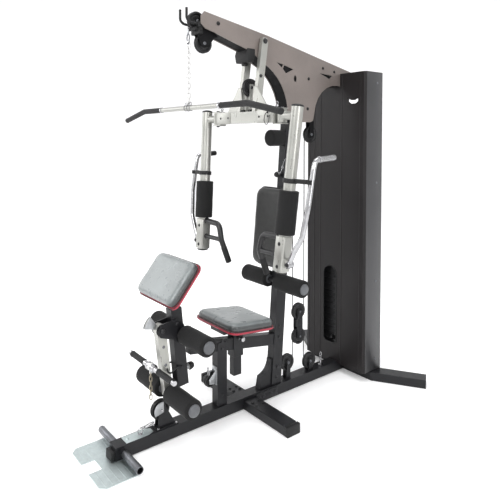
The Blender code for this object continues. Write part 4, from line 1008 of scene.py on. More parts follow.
def build_yoke():
    """Fasteners and fittings of the press yoke; the CAD yoke itself stays."""
    bm = bmesh.new()
    for sign in SIGNS:
        axis = (sign, 0, 0)
        bolt(bm, at(0.078 * sign, -0.697, 1.988), axis, 0.011)
        bolt(bm, at(0.078 * sign, -0.728, 1.800), axis, 0.007)
        bolt(bm, at(0.078 * sign, -0.741, 1.700), axis, 0.007)
        for level, way in ((CROSS_Z + 0.0405, 1), (CROSS_Z - 0.0405, -1)):
            bolt(bm, at(FLY_X * sign, CROSS_Y, level), (0, 0, way), 0.0085)
        bolt(bm, at(0.0175 * sign, -0.740, 1.742), axis, 0.0065)
        for x in (0.135, 0.205):
            bolt(bm, at(x * sign, CROSS_Y - 0.030, CROSS_Z), (0, -1, 0), 0.0065)
    piece(bm, "yoke_bolts", BLACK_OXIDE, "yoke", "zinc_sheet")
    bm = bmesh.new()
    for sign in SIGNS:
        box(bm, at(sign * 0.119, CROSS_Y - 0.0335, CROSS_Z - 0.0335),
            at(sign * 0.2465, CROSS_Y - 0.0290, CROSS_Z + 0.0335), 0.001)
    piece(bm, "yoke_plates", SILVER, "yoke", "arm_silver")
    bm = bmesh.new()
    box(bm, at(-0.047, -0.722, 1.905), at(0.047, -0.684, 1.942), 0.003)
    for sign in SIGNS:
        box(bm, at(sign * 0.030 - 0.012, CROSS_Y - 0.016, CROSS_Z + 0.0305),
            at(sign * 0.030 + 0.012, CROSS_Y + 0.016, CROSS_Z + 0.042), 0.002)
    piece(bm, "yoke_blocks", RUBBER, "yoke", "knob_plastic")
    bm = bmesh.new()
    loop = [at(x, CROSS_Y - ahead, CROSS_Z + up) for x, ahead, up in
            ((0.205, 0.034, 0.026), (0.196, 0.046, 0.008), (0.190, 0.047, -0.022),
             (0.204, 0.044, -0.046), (0.220, 0.040, -0.030), (0.222, 0.038, 0.006))]
    sweep(bm, rounded_path(loop, 0.03, 6), 0.0017, 10)
    lathe(bm, [(-0.004, 0), (-0.004, 0.0045), (0.010, 0.0045), (0.011, 0.003), (0.011, 0)],
          loop[0], (0, 0, -1), 16)
    piece(bm, "pin_lanyard", RUBBER, "yoke", "cable")
    bm = bmesh.new()
    for sign in SIGNS:
        lathe(bm, [(0, 0), (0, 0.006), (0.020, 0.006), (0.022, 0.0085), (0.030, 0.0085),
                   (0.031, 0.007), (0.031, 0)], at(sign * 0.238, CROSS_Y, CROSS_Z + 0.028),
              (0, 0, 1), 24)
        ring(bm, at(sign * 0.238, CROSS_Y, CROSS_Z + 0.066), (0, 1, 0), 0.009, 0.0016, 28, 8)
    piece(bm, "yoke_pull_pins", CHROME, "yoke", "chrome")


# ---------------------------------------------------------------- lat bar, chain and carabiner

def build_lat():
    corner_a, corner_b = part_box("lat_bar")
    radius = 0.014
    y = (corner_a.y + corner_b.y) / 2
    tip_x, tip_z = corner_b.x - radius * 0.4, corner_a.z + radius
    level = low("lat_chain").z - 0.0345
    straight = 0.470
    path = [(-tip_x, y, tip_z), (-straight, y, level), (straight, y, level), (tip_x, y, tip_z)]
    bm = bmesh.new()
    route = rounded_path([Vector(p) for p in path], 0.09, 10)
    route[0], route[-1] = route[0].lerp(route[1], 0.06), route[-1].lerp(route[-2], 0.06)
    sweep(bm, route, radius - 0.0016, 28)
    piece(bm, "lat_tube", SILVER, "lat", "arm_silver", "lat_bar")
    grips, rims = bmesh.new(), bmesh.new()
    grip_start = 0.275
    for sign in SIGNS:
        bend_line = rounded_path([(grip_start * sign, y, level), (straight * sign, y, level),
                                  (tip_x * sign, y, tip_z)], 0.09, 12)
        radii = [radius * s for s in [0.98] + [1.0] * (len(bend_line) - 2) + [0.98]]
        sweep(grips, bend_line, radii, 28)
        away = (bend_line[-1] - bend_line[-2]).normalized()
        ring(grips, bend_line[-1] - away * 0.003, away, radius - 0.0022, 0.0026, 32, 10)
        ring(grips, bend_line[0] + Vector((sign * 0.003, 0, 0)), (1, 0, 0), radius - 0.0016,
             0.0022, 32, 8)
        lathe(rims, [(0, 0), (0, radius + 0.0005), (0.004, radius + 0.0009),
                     (0.012, radius + 0.0009), (0.014, radius - 0.001), (0.014, 0)],
              ((grip_start - 0.015) * sign, y, level), (sign, 0, 0), 32)
    piece(grips, "lat_grips", GRIP, "lat", "knob_plastic")
    ring(rims, (0, y, level), (1, 0, 0), radius + 0.001, 0.0022, 32, 8)
    for sign in SIGNS:
        ring(rims, (sign * 0.017, y, level + radius + 0.006), (0, 1, 0), 0.0085, 0.0024, 28, 8)
        ring(rims, (sign * 0.024, y, level), (1, 0, 0), radius + 0.0002, 0.0016, 32, 8)
    piece(rims, "lat_eyes", CHROME, "lat", "chrome")
    top = high("lat_chain").z
    hook_tall = 0.052
    bm = bmesh.new()
    chain(bm, (0, y, level + 0.024), (0, y, top - hook_tall + 0.008), 0.0245, 0.0034, 0.0098)
    piece(bm, "lat_chain_links", CHAIN_ZINC, "lat", "chrome", "lat_chain")
    bm = bmesh.new()
    points = []
    for turn in turns(24):
        wide = 0.0085 if math.sin(turn) < 0 else 0.0115
        points.append(Vector((wide * math.cos(turn), y,
                              top - hook_tall / 2 + hook_tall / 2 * math.sin(turn))))
    sweep(bm, points, 0.0026, 10, closed=True)
    lathe(bm, [(0, 0), (0, 0.0044), (0.010, 0.0044), (0.012, 0.0028), (0.012, 0)],
          (0, y, top - 0.008), (0, 0, 1), 20)
    piece(bm, "lat_carabiner", GUNMETAL, "lat", "chrome")


# ---------------------------------------------------------------- seat and leg station

POST_FOOT, POST_HEAD = at(0, -1.181, 0.244), at(0, -1.221, 0.636)
LEG_PIVOT = pivot("leg_extension")


def post_point(forward, up, x=0.0):
    """A point counted from the leg post's foot: forward of it, and up along it."""
    along = (POST_HEAD - POST_FOOT).normalized()
    ahead = Vector((0, -along.z, along.y))
    return POST_FOOT + ahead * forward + along * up + Vector((x, 0, 0))


def build_knobs():
    along = (POST_HEAD - POST_FOOT).normalized()
    ahead = Vector((0, -along.z, along.y))
    start = post_point(-0.0245, 0.070)
    bm = bmesh.new()
    lathe(bm, [(0.0, 0.0052), (0.030, 0.0052), (0.030, 0.0)], start, -ahead, 20)
    lobed_cap(bm, start - ahead * 0.028, -ahead, 0.0195, 6, 0.026)
    piece(bm, "post_knob_grip", RUBBER, "post_lock", "knob_plastic", "post_knob")
    bm = bmesh.new()
    lathe(bm, [(0.0, 0.0055), (0.0, 0.0130), (0.0020, 0.0130), (0.0022, 0.0055)],
          start - ahead * 0.0262, -ahead, 32)
    piece(bm, "post_knob_washer", WHITE_NYLON, "post_lock", "knob_plastic")
    bm = bmesh.new()
    lathe(bm, [(0.0, 0.0056), (0.0, 0.0115), (0.0185, 0.0115), (0.0215, 0.0085), (0.0215, 0.0056)],
          post_point(-0.0306, 0.070), -ahead, 6)
    piece(bm, "post_knob_nut", STEEL, "frame", "zinc_sheet")
    _, y, z = middle("seat_pin")
    bm = bmesh.new()
    lathe(bm, [(0, 0), (0, 0.0048), (0.026, 0.0048), (0.027, 0.0085), (0.031, 0.0118),
               (0.040, 0.0118), (0.046, 0.0132), (0.050, 0.0118), (0.052, 0.006), (0.052, 0)],
          (low("seat_pin").x, y, z), (1, 0, 0), 36)
    piece(bm, "seat_pin_pull", CHROME, "seat_lock", "chrome", "seat_pin")
    bm = bmesh.new()
    lathe(bm, [(0, 0.0056), (0, 0.0110), (0.017, 0.0110), (0.0195, 0.0085), (0.0195, 0.0056)],
          (0.0262, y, z), (1, 0, 0), 6)
    piece(bm, "seat_pin_nut", STEEL, "frame", "zinc_sheet")


def build_leg_station():
    py, pz = LEG_PIVOT.y, LEG_PIVOT.z
    bm = bmesh.new()
    for sign in SIGNS:
        bolt(bm, (sign * 0.0335, py, pz), (sign, 0, 0), 0.0095)
        for level in (0.26, 0.32):
            bolt(bm, post_point(0.006, level, sign * 0.0315), (sign, 0, 0), 0.0065)
    piece(bm, "leg_pivot_bolts", BLACK_OXIDE, "frame", "zinc_sheet")

    lower = middle("lower_roller_left")
    down = Vector((0, lower.y - py, lower.z - pz)).normalized()
    bm = bmesh.new()
    wheel_at = Vector((0, py, pz))
    for sign in SIGNS:
        points = oval(wheel_at + Vector((sign * 0.0215, 0, 0)), Vector((0, 0.030, 0)),
                      Vector((0, 0, 0.030)), 18)
        slab(bm, points, (sign, 0, 0), 0.0016, 0.0004)
    piece(bm, "leg_wheel", RUBBER, "leg", "knob_plastic")
    bm = bmesh.new()
    radius = 0.088
    for x in (0.0052, -0.0072):
        centre = wheel_at + Vector((x, 0, 0))
        points = [centre, *half_turn(centre, radius, 126, 167, 12)]
        slab(bm, points, (1, 0, 0), 0.0020, 0.0004)
    piece(bm, "leg_sector_rims", STEEL, "leg", "zinc_sheet")
    bm = bmesh.new()
    for sign in SIGNS:
        for share in (0.25, 0.52):
            spot = wheel_at + down * (0.34 * share)
            domed_bolt(bm, spot + Vector((sign * 0.0195, 0, 0)), (sign, 0, 0), 0.0060)
    piece(bm, "leg_lever_bolts", GUNMETAL, "leg", "zinc_sheet")

    corner_a, corner_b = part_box("curl_bar")
    half = (corner_b.x - corner_a.x) / 2
    curl_y = corner_a.y + 0.020
    curl_z = corner_b.z - 0.020
    bm = bmesh.new()
    profile = [(0, 0), (0.0005, 0.011), (0.002, 0.0125), (half - 0.034, 0.0125),
               (half - 0.030, 0.0185), (half - 0.026, 0.020), (half - 0.012, 0.020),
               (half - 0.010, 0.0150), (half + 0.010, 0.0150), (half + 0.012, 0.020),
               (half + 0.026, 0.020), (half + 0.030, 0.0185), (half + 0.034, 0.0125),
               (2 * half - 0.002, 0.0125), (2 * half - 0.0005, 0.011), (2 * half, 0)]
    lathe(bm, profile, (-half, curl_y, curl_z), (1, 0, 0), 40)
    piece(bm, "curl_tube", CHROME, "leg", "chrome", "curl_bar")
    bm = bmesh.new()
    for sign in SIGNS:
        lathe(bm, [(0, 0.0124), (0, 0.0152), (0.004, 0.0158), (0.010, 0.0144), (0.118, 0.0144),
                   (0.124, 0.0158), (0.128, 0.0152), (0.129, 0.0124)],
              (sign * 0.070, curl_y, curl_z), (sign, 0, 0), 36)
    piece(bm, "curl_grips", GRIP, "leg", "knob_plastic")
    bm = bmesh.new()
    lathe(bm, [(-0.0095, 0.0151), (-0.0095, 0.0175), (0.0095, 0.0175), (0.0095, 0.0151)],
          (0, curl_y, curl_z), (1, 0, 0), 36)
    box(bm, (-0.004, curl_y - 0.010, curl_z - 0.030), (0.004, curl_y + 0.006, curl_z - 0.014),
        0.0012)
    piece(bm, "curl_swivel", WHITE_NYLON, "leg", "knob_plastic")
    bm = bmesh.new()
    chain(bm, (0, curl_y - 0.004, curl_z - 0.024), (0, curl_y - 0.004, corner_a.z + 0.004),
          0.0235, 0.0022, 0.0062)
    piece(bm, "curl_chain", DARK_BRASS, "leg", "chrome")

    bm = bmesh.new()
    for sign in SIGNS:
        hook = [post_point(0.006, 0.100, sign * 0.0262), post_point(0.030, 0.112, sign * 0.034),
                post_point(0.068, 0.092, sign * 0.036), post_point(0.084, 0.104, sign * 0.036),
                post_point(0.087, 0.124, sign * 0.036)]
        sweep(bm, rounded_path(hook, 0.02, 6), 0.0042, 12)
        domed_bolt(bm, post_point(0.004, 0.100, sign * 0.0265), (sign, 0, 0), 0.0060)
    piece(bm, "curl_cradle", BLACK, "frame", "frame_black")


def build_low_fittings():
    """Snap link, eye ring and clips about the low pulley, and the spare pulley on the seat post."""
    low_pulley = pivot("low_pulley_spin")
    bm = bmesh.new()
    eye_y = REAR - 1.405
    ring(bm, (0, eye_y, BEAM_TOP + 0.018), (1, 0, 0), 0.013, 0.0030, 32, 10)
    lathe(bm, [(0, 0), (0, 0.011), (0.003, 0.011), (0.0045, 0.007), (0.006, 0.0)],
          (0, eye_y, BEAM_TOP), (0, 0, 1), 24)
    link_y = low_pulley.y - 0.036
    snap = oval(Vector((0, link_y - 0.026, BEAM_TOP + 0.030)), Vector((0.0075, 0, 0)),
                Vector((0, 0.026, 0.006)), 24)
    sweep(bm, snap, 0.0024, 10, closed=True)
    chain(bm, (0, link_y - 0.045, BEAM_TOP + 0.028), (0, eye_y + 0.010, BEAM_TOP + 0.026), 0.020,
          0.0020, 0.0056)
    for sign in SIGNS:
        bolt(bm, (sign * 0.018, low_pulley.y, low_pulley.z), (sign, 0, 0), 0.0065)
        for shift in (-0.022, 0.076):
            bolt(bm, (sign * 0.024, low_pulley.y + shift, BEAM_TOP + 0.006), (0, 0, 1), 0.0055)
    piece(bm, "low_links", CHROME, "frame", "chrome")
    bm = bmesh.new()
    for sign in SIGNS:
        fan = half_turn(low_pulley + Vector((sign * 0.0172, 0, 0)), 0.041, 75, 215, 14)
        fan.append(low_pulley + Vector((sign * 0.0172, 0.012, -0.012)))
        slab(bm, fan, (sign, 0, 0), 0.0020, 0.0005)
    piece(bm, "low_guard", STEEL, "frame", "zinc_sheet")
    post_front = REAR - 0.975
    wheel = Vector((0, post_front - 0.034, 0.205))
    bm = bmesh.new()
    pulley_wheel(bm, wheel, 0.030, 0.010)
    piece(bm, "post_wheel", NYLON, "frame", "pulley_nylon")
    bm = bmesh.new()
    for sign in SIGNS:
        outline = [(sign * 0.0135, post_front, 0.185), (sign * 0.0135, wheel.y - 0.010, 0.192),
                   (sign * 0.0135, wheel.y - 0.014, 0.218), (sign * 0.0135, post_front, 0.262)]
        slab(bm, outline, (sign, 0, 0), 0.0025, 0.0006)
        bolt(bm, (sign * 0.016, wheel.y, wheel.z), (sign, 0, 0), 0.0060)
    box(bm, (-0.022, post_front - 0.004, 0.180), (0.022, post_front, 0.275), 0.001)
    piece(bm, "post_wheel_bracket", STEEL, "frame", "zinc_sheet")
    bm = bmesh.new()
    for k in range(2):
        link_at = Vector((0, wheel.y - 0.006 - 0.004 * k, 0.246 + 0.018 * k))
        sweep(bm, oval(link_at, Vector((0.007, 0, 0)), Vector((0, 0, 0.015)), 20), 0.0023, 10,
              closed=True)
    piece(bm, "post_snap_link", CHROME, "frame", "chrome")


def pulley_wheel(bm, centre, radius, half):
    """Adds a grooved wheel across X with a dished web and a hub."""
    hub, rim = radius * 0.24, radius * 0.80
    profile = [(-half, 0), (-half, hub), (-half * 0.55, hub * 1.25), (-half * 0.45, rim * 0.86),
               (-half * 0.95, rim), (-half, radius * 0.97), (-half * 0.82, radius),
               (-half * 0.30, radius * 0.905), (0, radius * 0.89), (half * 0.30, radius * 0.905),
               (half * 0.82, radius), (half, radius * 0.97), (half * 0.95, rim),
               (half * 0.45, rim * 0.86), (half * 0.55, hub * 1.25), (half, hub), (half, 0)]
    lathe(bm, profile, centre, (1, 0, 0), 56)


# ---------------------------------------------------------------- pulleys and cables

PULLEYS = ("tip_pulley", "boom_top_pulley", "shoulder_pulley", "yoke_pulley",
           "float_pulley_upper", "float_pulley_lower", "base_pulley_front",
           "base_pulley_rear", "low_pulley", "tower_pulley")
CHEEK_OUTER = 0.017
ROPE_RADIUS = 0.0025
FLOAT_GROOVE = 0.0457              # radius of the cable in the floating pulleys' grooves
ROPE_ANCHOR = 1.2496               # height of the upper cable's fixed end


def build_pulleys():
    holders = {"yoke_pulley": "yoke", "float_pulley_upper": "float", "float_pulley_lower": "float"}
    bolts = {}
    for name in PULLEYS:
        corner_a, corner_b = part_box(name)
        centre = middle(name)
        radius = (corner_b.z - corner_a.z) / 2
        bm = bmesh.new()
        pulley_wheel(bm, centre, radius, (corner_b.x - corner_a.x) / 2)
        for turn in turns(5):
            for sign in SIGNS:
                spot = centre + Vector((0.0052 * sign, 0.52 * radius * math.cos(turn),
                                        0.52 * radius * math.sin(turn)))
                lathe(bm, [(-0.001, 0), (-0.001, 0.0052), (0.0012, 0.0046), (0.0012, 0)], spot,
                      (sign, 0, 0), 16)
        piece(bm, name + "_wheel", NYLON, name + "_body", "pulley_nylon", name)
        bm = bmesh.new()
        lathe(bm, [(-0.0112, 0), (-0.0112, radius * 0.21), (0.0112, radius * 0.21), (0.0112, 0)],
              centre, (1, 0, 0), 28)
        piece(bm, name + "_bearing", STEEL, name + "_body", "chrome")
        body = holders.get(name, "frame")
        if name != "low_pulley":
            bm = bolts.setdefault(body, bmesh.new())
            for sign in SIGNS:
                bolt(bm, centre + Vector((CHEEK_OUTER * sign, 0, 0)), (sign, 0, 0), 0.0068)
    for body, bm in bolts.items():
        piece(bm, f"pulley_bolts_{body}", GUNMETAL, body, "zinc_sheet")


def rope_piece(name, points, node):
    """A steel rope swept along the points, standing for the CAD cable node that it hides."""
    bm = bmesh.new()
    fine = []
    for a, b in zip(points, points[1:]):
        count = max(1, int((b - a).length / 0.02))
        fine += [a.lerp(b, k / count) for k in range(count)]
    fine.append(points[-1])
    sweep(bm, fine, ROPE_RADIUS, 12)
    rope = mesh_object(name, bm, ROPE)
    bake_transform(rope)
    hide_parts(node)
    return rope


def half_turn(centre, radius, start, end, steps=16):
    """Points of an arc in the YZ plane, angles in degrees."""
    return [centre + Vector((0, radius * math.cos(math.radians(start + (end - start) * k / steps)),
                             radius * math.sin(math.radians(start + (end - start) * k / steps))))
            for k in range(steps + 1)]


def build_cables():
    lat_low, lat_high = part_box("lat_cable")
    y = (lat_low.y + lat_high.y) / 2
    rope_piece("lat_rope", [Vector((0, y, lat_high.z)), Vector((0, y, lat_low.z))], "lat_cable")
    stack_low, stack_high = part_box("stack_cable")
    y = (stack_low.y + stack_high.y) / 2
    rope_piece("stack_rope", [Vector((0, y, stack_high.z)), Vector((0, y, stack_low.z))],
               "stack_cable")
    upper, lower = middle("float_pulley_upper"), middle("float_pulley_lower")
    run = FLOAT_GROOVE
    shoulder = middle("shoulder_pulley")
    points = [Vector((0, upper.y - run, ROPE_ANCHOR)), *half_turn(upper, run, 180, 360),
              Vector((0, upper.y + run, shoulder.z))]
    rope_piece("upper_rope", points, "upper_cable")
    points = [Vector((0, lower.y - run, middle("base_pulley_front").z)),
              *half_turn(lower, run, 180, 0),
              Vector((0, lower.y + run, middle("base_pulley_rear").z))]
    rope_piece("lower_rope", points, "lower_cable")
    bm = bmesh.new()
    for z_low, z_high in ((lower.z - 0.012, lower.z + 0.030), (upper.z - 0.030, upper.z + 0.012)):
        for sign in SIGNS:
            box(bm, (sign * 0.0165, lower.y - 0.012, z_low),
                (sign * 0.0195, lower.y + 0.012, z_high), 0.001)
    for sign in SIGNS:
        for share in (0.38, 0.62):
            spot = lower.lerp(upper, share) + Vector((0.0170 * sign, 0, 0))
            bolt(bm, spot, (sign, 0, 0), 0.0055)
    piece(bm, "float_straps", BLACK, "float", "frame_black")
    bm = bmesh.new()
    lathe(bm, [(0, 0), (0, 0.0048), (0.016, 0.0048), (0.022, 0.0034), (0.022, 0)],
          (0, lat_low.y + 0.0025, lat_low.z + 0.002), (0, 0, 1), 20)
    piece(bm, "lat_ferrule", STEEL, "lat", "chrome")


# ---------------------------------------------------------------- weight tower

def build_tower():
    corner_a, corner_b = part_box("front_shroud")
    front, half = corner_a.y, corner_b.x
    base, top = corner_a.z, corner_b.z
    bm = bmesh.new()
    rib = 0.0055
    for x in (-0.214, -0.170, -0.116, 0.060, 0.206):
        outline = []
        for k in range(7):
            turn = math.pi * k / 6
            outline.append((x + rib * math.cos(turn), front + 0.0004 - 0.0016 * math.sin(turn),
                            base + 0.012))
        slab(bm, outline, (0, 0, 1), top - base - 0.024, 0)
    piece(bm, "shroud_ribs", SHROUD, "frame", "shroud")

    # Skins on the shroud's sides carry their lighter grey, partly their own, partly painted light.
    bm = bmesh.new()
    for sign in SIGNS:
        box(bm, (sign * half, front + 0.0135, base + 0.004),
            (sign * (half + 0.0014), corner_b.y - 0.003, top - 0.003), 0.0006)
    piece(bm, "shroud_side_panels", SIDE_GREY_AND_LIGHT, "frame", "shroud")

    bm = bmesh.new()
    x_low, x_high = -0.083, 0.025
    z_low, z_high = 0.170, 0.660
    rim_x, mid_x = (x_high - x_low) / 2, (x_high + x_low) / 2
    outline = [(x_low, z_low + 0.02), (x_low + 0.02, z_low), (x_high - 0.02, z_low),
               (x_high, z_low + 0.02)]
    for k in range(17):
        turn = math.pi * k / 16
        outline.append((mid_x + rim_x * math.cos(turn), z_high - rim_x + rim_x * math.sin(turn)))
    points = [Vector((x, front - 0.0002, z)) for x, z in outline]
    sweep(bm, points, 0.0030, 8, closed=True)
    for k in range(11):
        z = 0.1967 + PLATE_PITCH * k
        tooth = [(x_high + reach, front + 0.001, z + up) for reach, up in
                 ((0.001, -0.0150), (-0.014, -0.0110), (-0.018, -0.0060), (-0.014, -0.001),
                  (0.001, 0.003))]
        slab(bm, tooth, (0, -1, 0), 0.0030, 0.0006)
    piece(bm, "slot_trim", RUBBER, "frame", "knob_plastic")

    bm = bmesh.new()
    window = [(0.115, 1.690), (0.135, 1.676), (0.170, 1.676), (0.190, 1.690), (0.190, 1.712),
              (0.165, 1.700), (0.140, 1.700), (0.115, 1.712)]
    grown = [Vector((0.1525 + (x - 0.1525) * 1.12, front + 0.0045, 1.693 + (z - 1.693) * 1.25))
             for x, z in window]
    slab(bm, grown, (0, 1, 0), 0.0015, 0.0003)
    # The window glows by its own emission: painted light.
    piece(bm, "window_light", OPAL, "frame", "shroud")
    bm = bmesh.new()
    loop = rounded_path([Vector((x, front - 0.0002, z)) for x, z in window]
                        + [Vector((window[0][0], front - 0.0002, window[0][1]))], 0.006, 4)[:-1]
    sweep(bm, loop, 0.0018, 8, closed=True)
    piece(bm, "window_trim", SHROUD, "frame", "shroud")

    bm = bmesh.new()
    for sign in SIGNS:
        for z in (0.12, 0.60, 1.20, 1.80):
            domed_bolt(bm, (sign * (half + 0.0014), (front + corner_b.y) / 2 + 0.03, z),
                       (sign, 0, 0), 0.0058)
    for x in (-0.20, 0.0, 0.20):
        for z in (0.14, 0.95, 1.78):
            domed_bolt(bm, (x, high("rear_shroud").y, z), (0, 1, 0), 0.0058)
    piece(bm, "shroud_bolts", GUNMETAL, "frame", "zinc_sheet")

    rear_y = high("rear_shroud").y
    bm = bmesh.new()
    for k in range(9):
        z = 1.30 + 0.035 * k
        outline = [(-0.10, rear_y - 0.0002, z), (0.10, rear_y - 0.0002, z),
                   (0.10, rear_y + 0.0042, z + 0.004), (-0.10, rear_y + 0.0042, z + 0.004)]
        slab(bm, outline, (0, 0, 1), 0.012, 0.001)
    for x in (-0.17, 0.17):
        box(bm, (x - 0.012, rear_y - 0.0003, base + 0.03),
            (x + 0.012, rear_y + 0.0032, top - 0.03), 0.0012)
    piece(bm, "rear_louvres", SHROUD, "frame", "shroud")


def build_stack():
    """The rims of the plates' pin holes, the top plate's head and the selector's grip."""
    corner_a, corner_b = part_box("lifting_plates")
    rest_a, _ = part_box("resting_plates")
    for name, start, count, body in (("resting_holes", rest_a.z, 2, "frame"),
                                     ("lifting_holes", corner_a.z, 12, "stack")):
        bm = bmesh.new()
        for k in range(count):
            z = start + PLATE_PITCH * (k + 0.5)
            if body == "stack" and k == 0:
                continue
            lathe(bm, [(0, 0.0052), (0, 0.0085), (0.0016, 0.0080), (0.0016, 0.0052)],
                  (-0.029, corner_a.y + 0.0001, z), (0, -1, 0), 24)
        piece(bm, name, RUBBER, body, "iron")
    bm = bmesh.new()
    lathe(bm, [(0, 0), (0, 0.020), (0.010, 0.020), (0.014, 0.012), (0.030, 0.010), (0.034, 0.006),
               (0.034, 0)], (0, middle("stack_cable").y, corner_b.z), (0, 0, 1), 32)
    piece(bm, "stack_head", STEEL, "stack", "chrome")
    bm = bmesh.new()
    x, _, z = middle("selector_pin")
    front = low("selector_pin").y
    lobed_cap(bm, (x, front + 0.024, z), (0, -1, 0), 0.0135, 6, 0.024)
    lathe(bm, [(0, 0), (0, 0.0048), (0.060, 0.0048), (0.064, 0.002), (0.064, 0)],
          (x, front + 0.022, z), (0, 1, 0), 24)
    piece(bm, "selector_grip", RUBBER, "selector", "knob_plastic", "selector_pin")


# ---------------------------------------------------------------- frame details

def upright_front(z):
    """Where the front face of the leaning upright is at a height."""
    return at(0, -0.602 + (z - BEAM_TOP) * math.tan(math.radians(4.2)), z).y


def build_boom_details():
    bm = bmesh.new()
    half = high("boom_plate_right").x
    for sign in SIGNS:
        axis = (sign, 0, 0)
        for y, z, size in ((-0.982, 2.047, 0.0085), (-0.338, 1.815, 0.0075),
                           (-0.218, 1.886, 0.0070), (-0.119, 1.872, 0.0065),
                           (-0.400, 1.600, 0.0075), (-0.345, 1.640, 0.0075)):
            domed_bolt(bm, at(half * sign, y, z), axis, size)
    piece(bm, "boom_bolts", RUBBER, "frame", "iron")
    bm = bmesh.new()
    tip = at(0, -1.086, 2.06)
    for sign in SIGNS:
        prong = rounded_path([at(0.030 * sign, y, z) for y, z in
                              ((-1.158, 2.103), (-1.158, 2.050), (-1.140, 2.036),
                               (-1.076, 2.030))], 0.03, 8)
        sweep(bm, prong, 0.0060, 16)
        box(bm, at(0.018 * sign, -1.098, 2.018), at(0.0413 * sign, -1.064, 2.044), 0.003)
    lathe(bm, [(0, 0), (0, 0.0085), (0.062, 0.0085), (0.062, 0)], at(-0.031, -1.104, 2.012),
          (1, 0, 0), 24)
    box(bm, (-0.0375, tip.y - 0.0055, 1.985), (0.0375, tip.y + 0.020, 2.030), 0.004)
    for sign in SIGNS:
        bolt(bm, at(0.0375 * sign, -1.080, 2.008), (sign, 0, 0), 0.0068)
    piece(bm, "tip_block", RUBBER, "frame", "frame_black", "bar_hook")
    bm = bmesh.new()
    edge = [at(0, -1.066, 2.0950), at(0, -0.653, 2.0245), at(0, 0.044, 1.8780)]
    for sign in SIGNS:
        sweep(bm, [p + Vector((sign * (half - 0.0025), 0, -0.0005)) for p in edge], 0.0026, 10)
    piece(bm, "boom_edges", BOOM_GREY, "frame", "boom_grey")
    bm = bmesh.new()
    side_view = ((-0.796, 1.945), (-0.743, 1.945), (-0.743, 1.905), (-0.754, 1.872),
                 (-0.798, 1.872), (-0.806, 1.912))
    slab(bm, [at(-0.0495, y, z) for y, z in side_view], (1, 0, 0), 0.099, 0.004)
    foot = at(0, -0.776, 1.870)
    lathe(bm, [(0, 0), (0, 0.013), (0.004, 0.016), (0.014, 0.0165), (0.018, 0.0135), (0.018, 0)],
          foot + Vector((0, 0, 0.004)), (0, 0, -1), 32)
    piece(bm, "boom_stop", RUBBER, "frame", "knob_plastic")


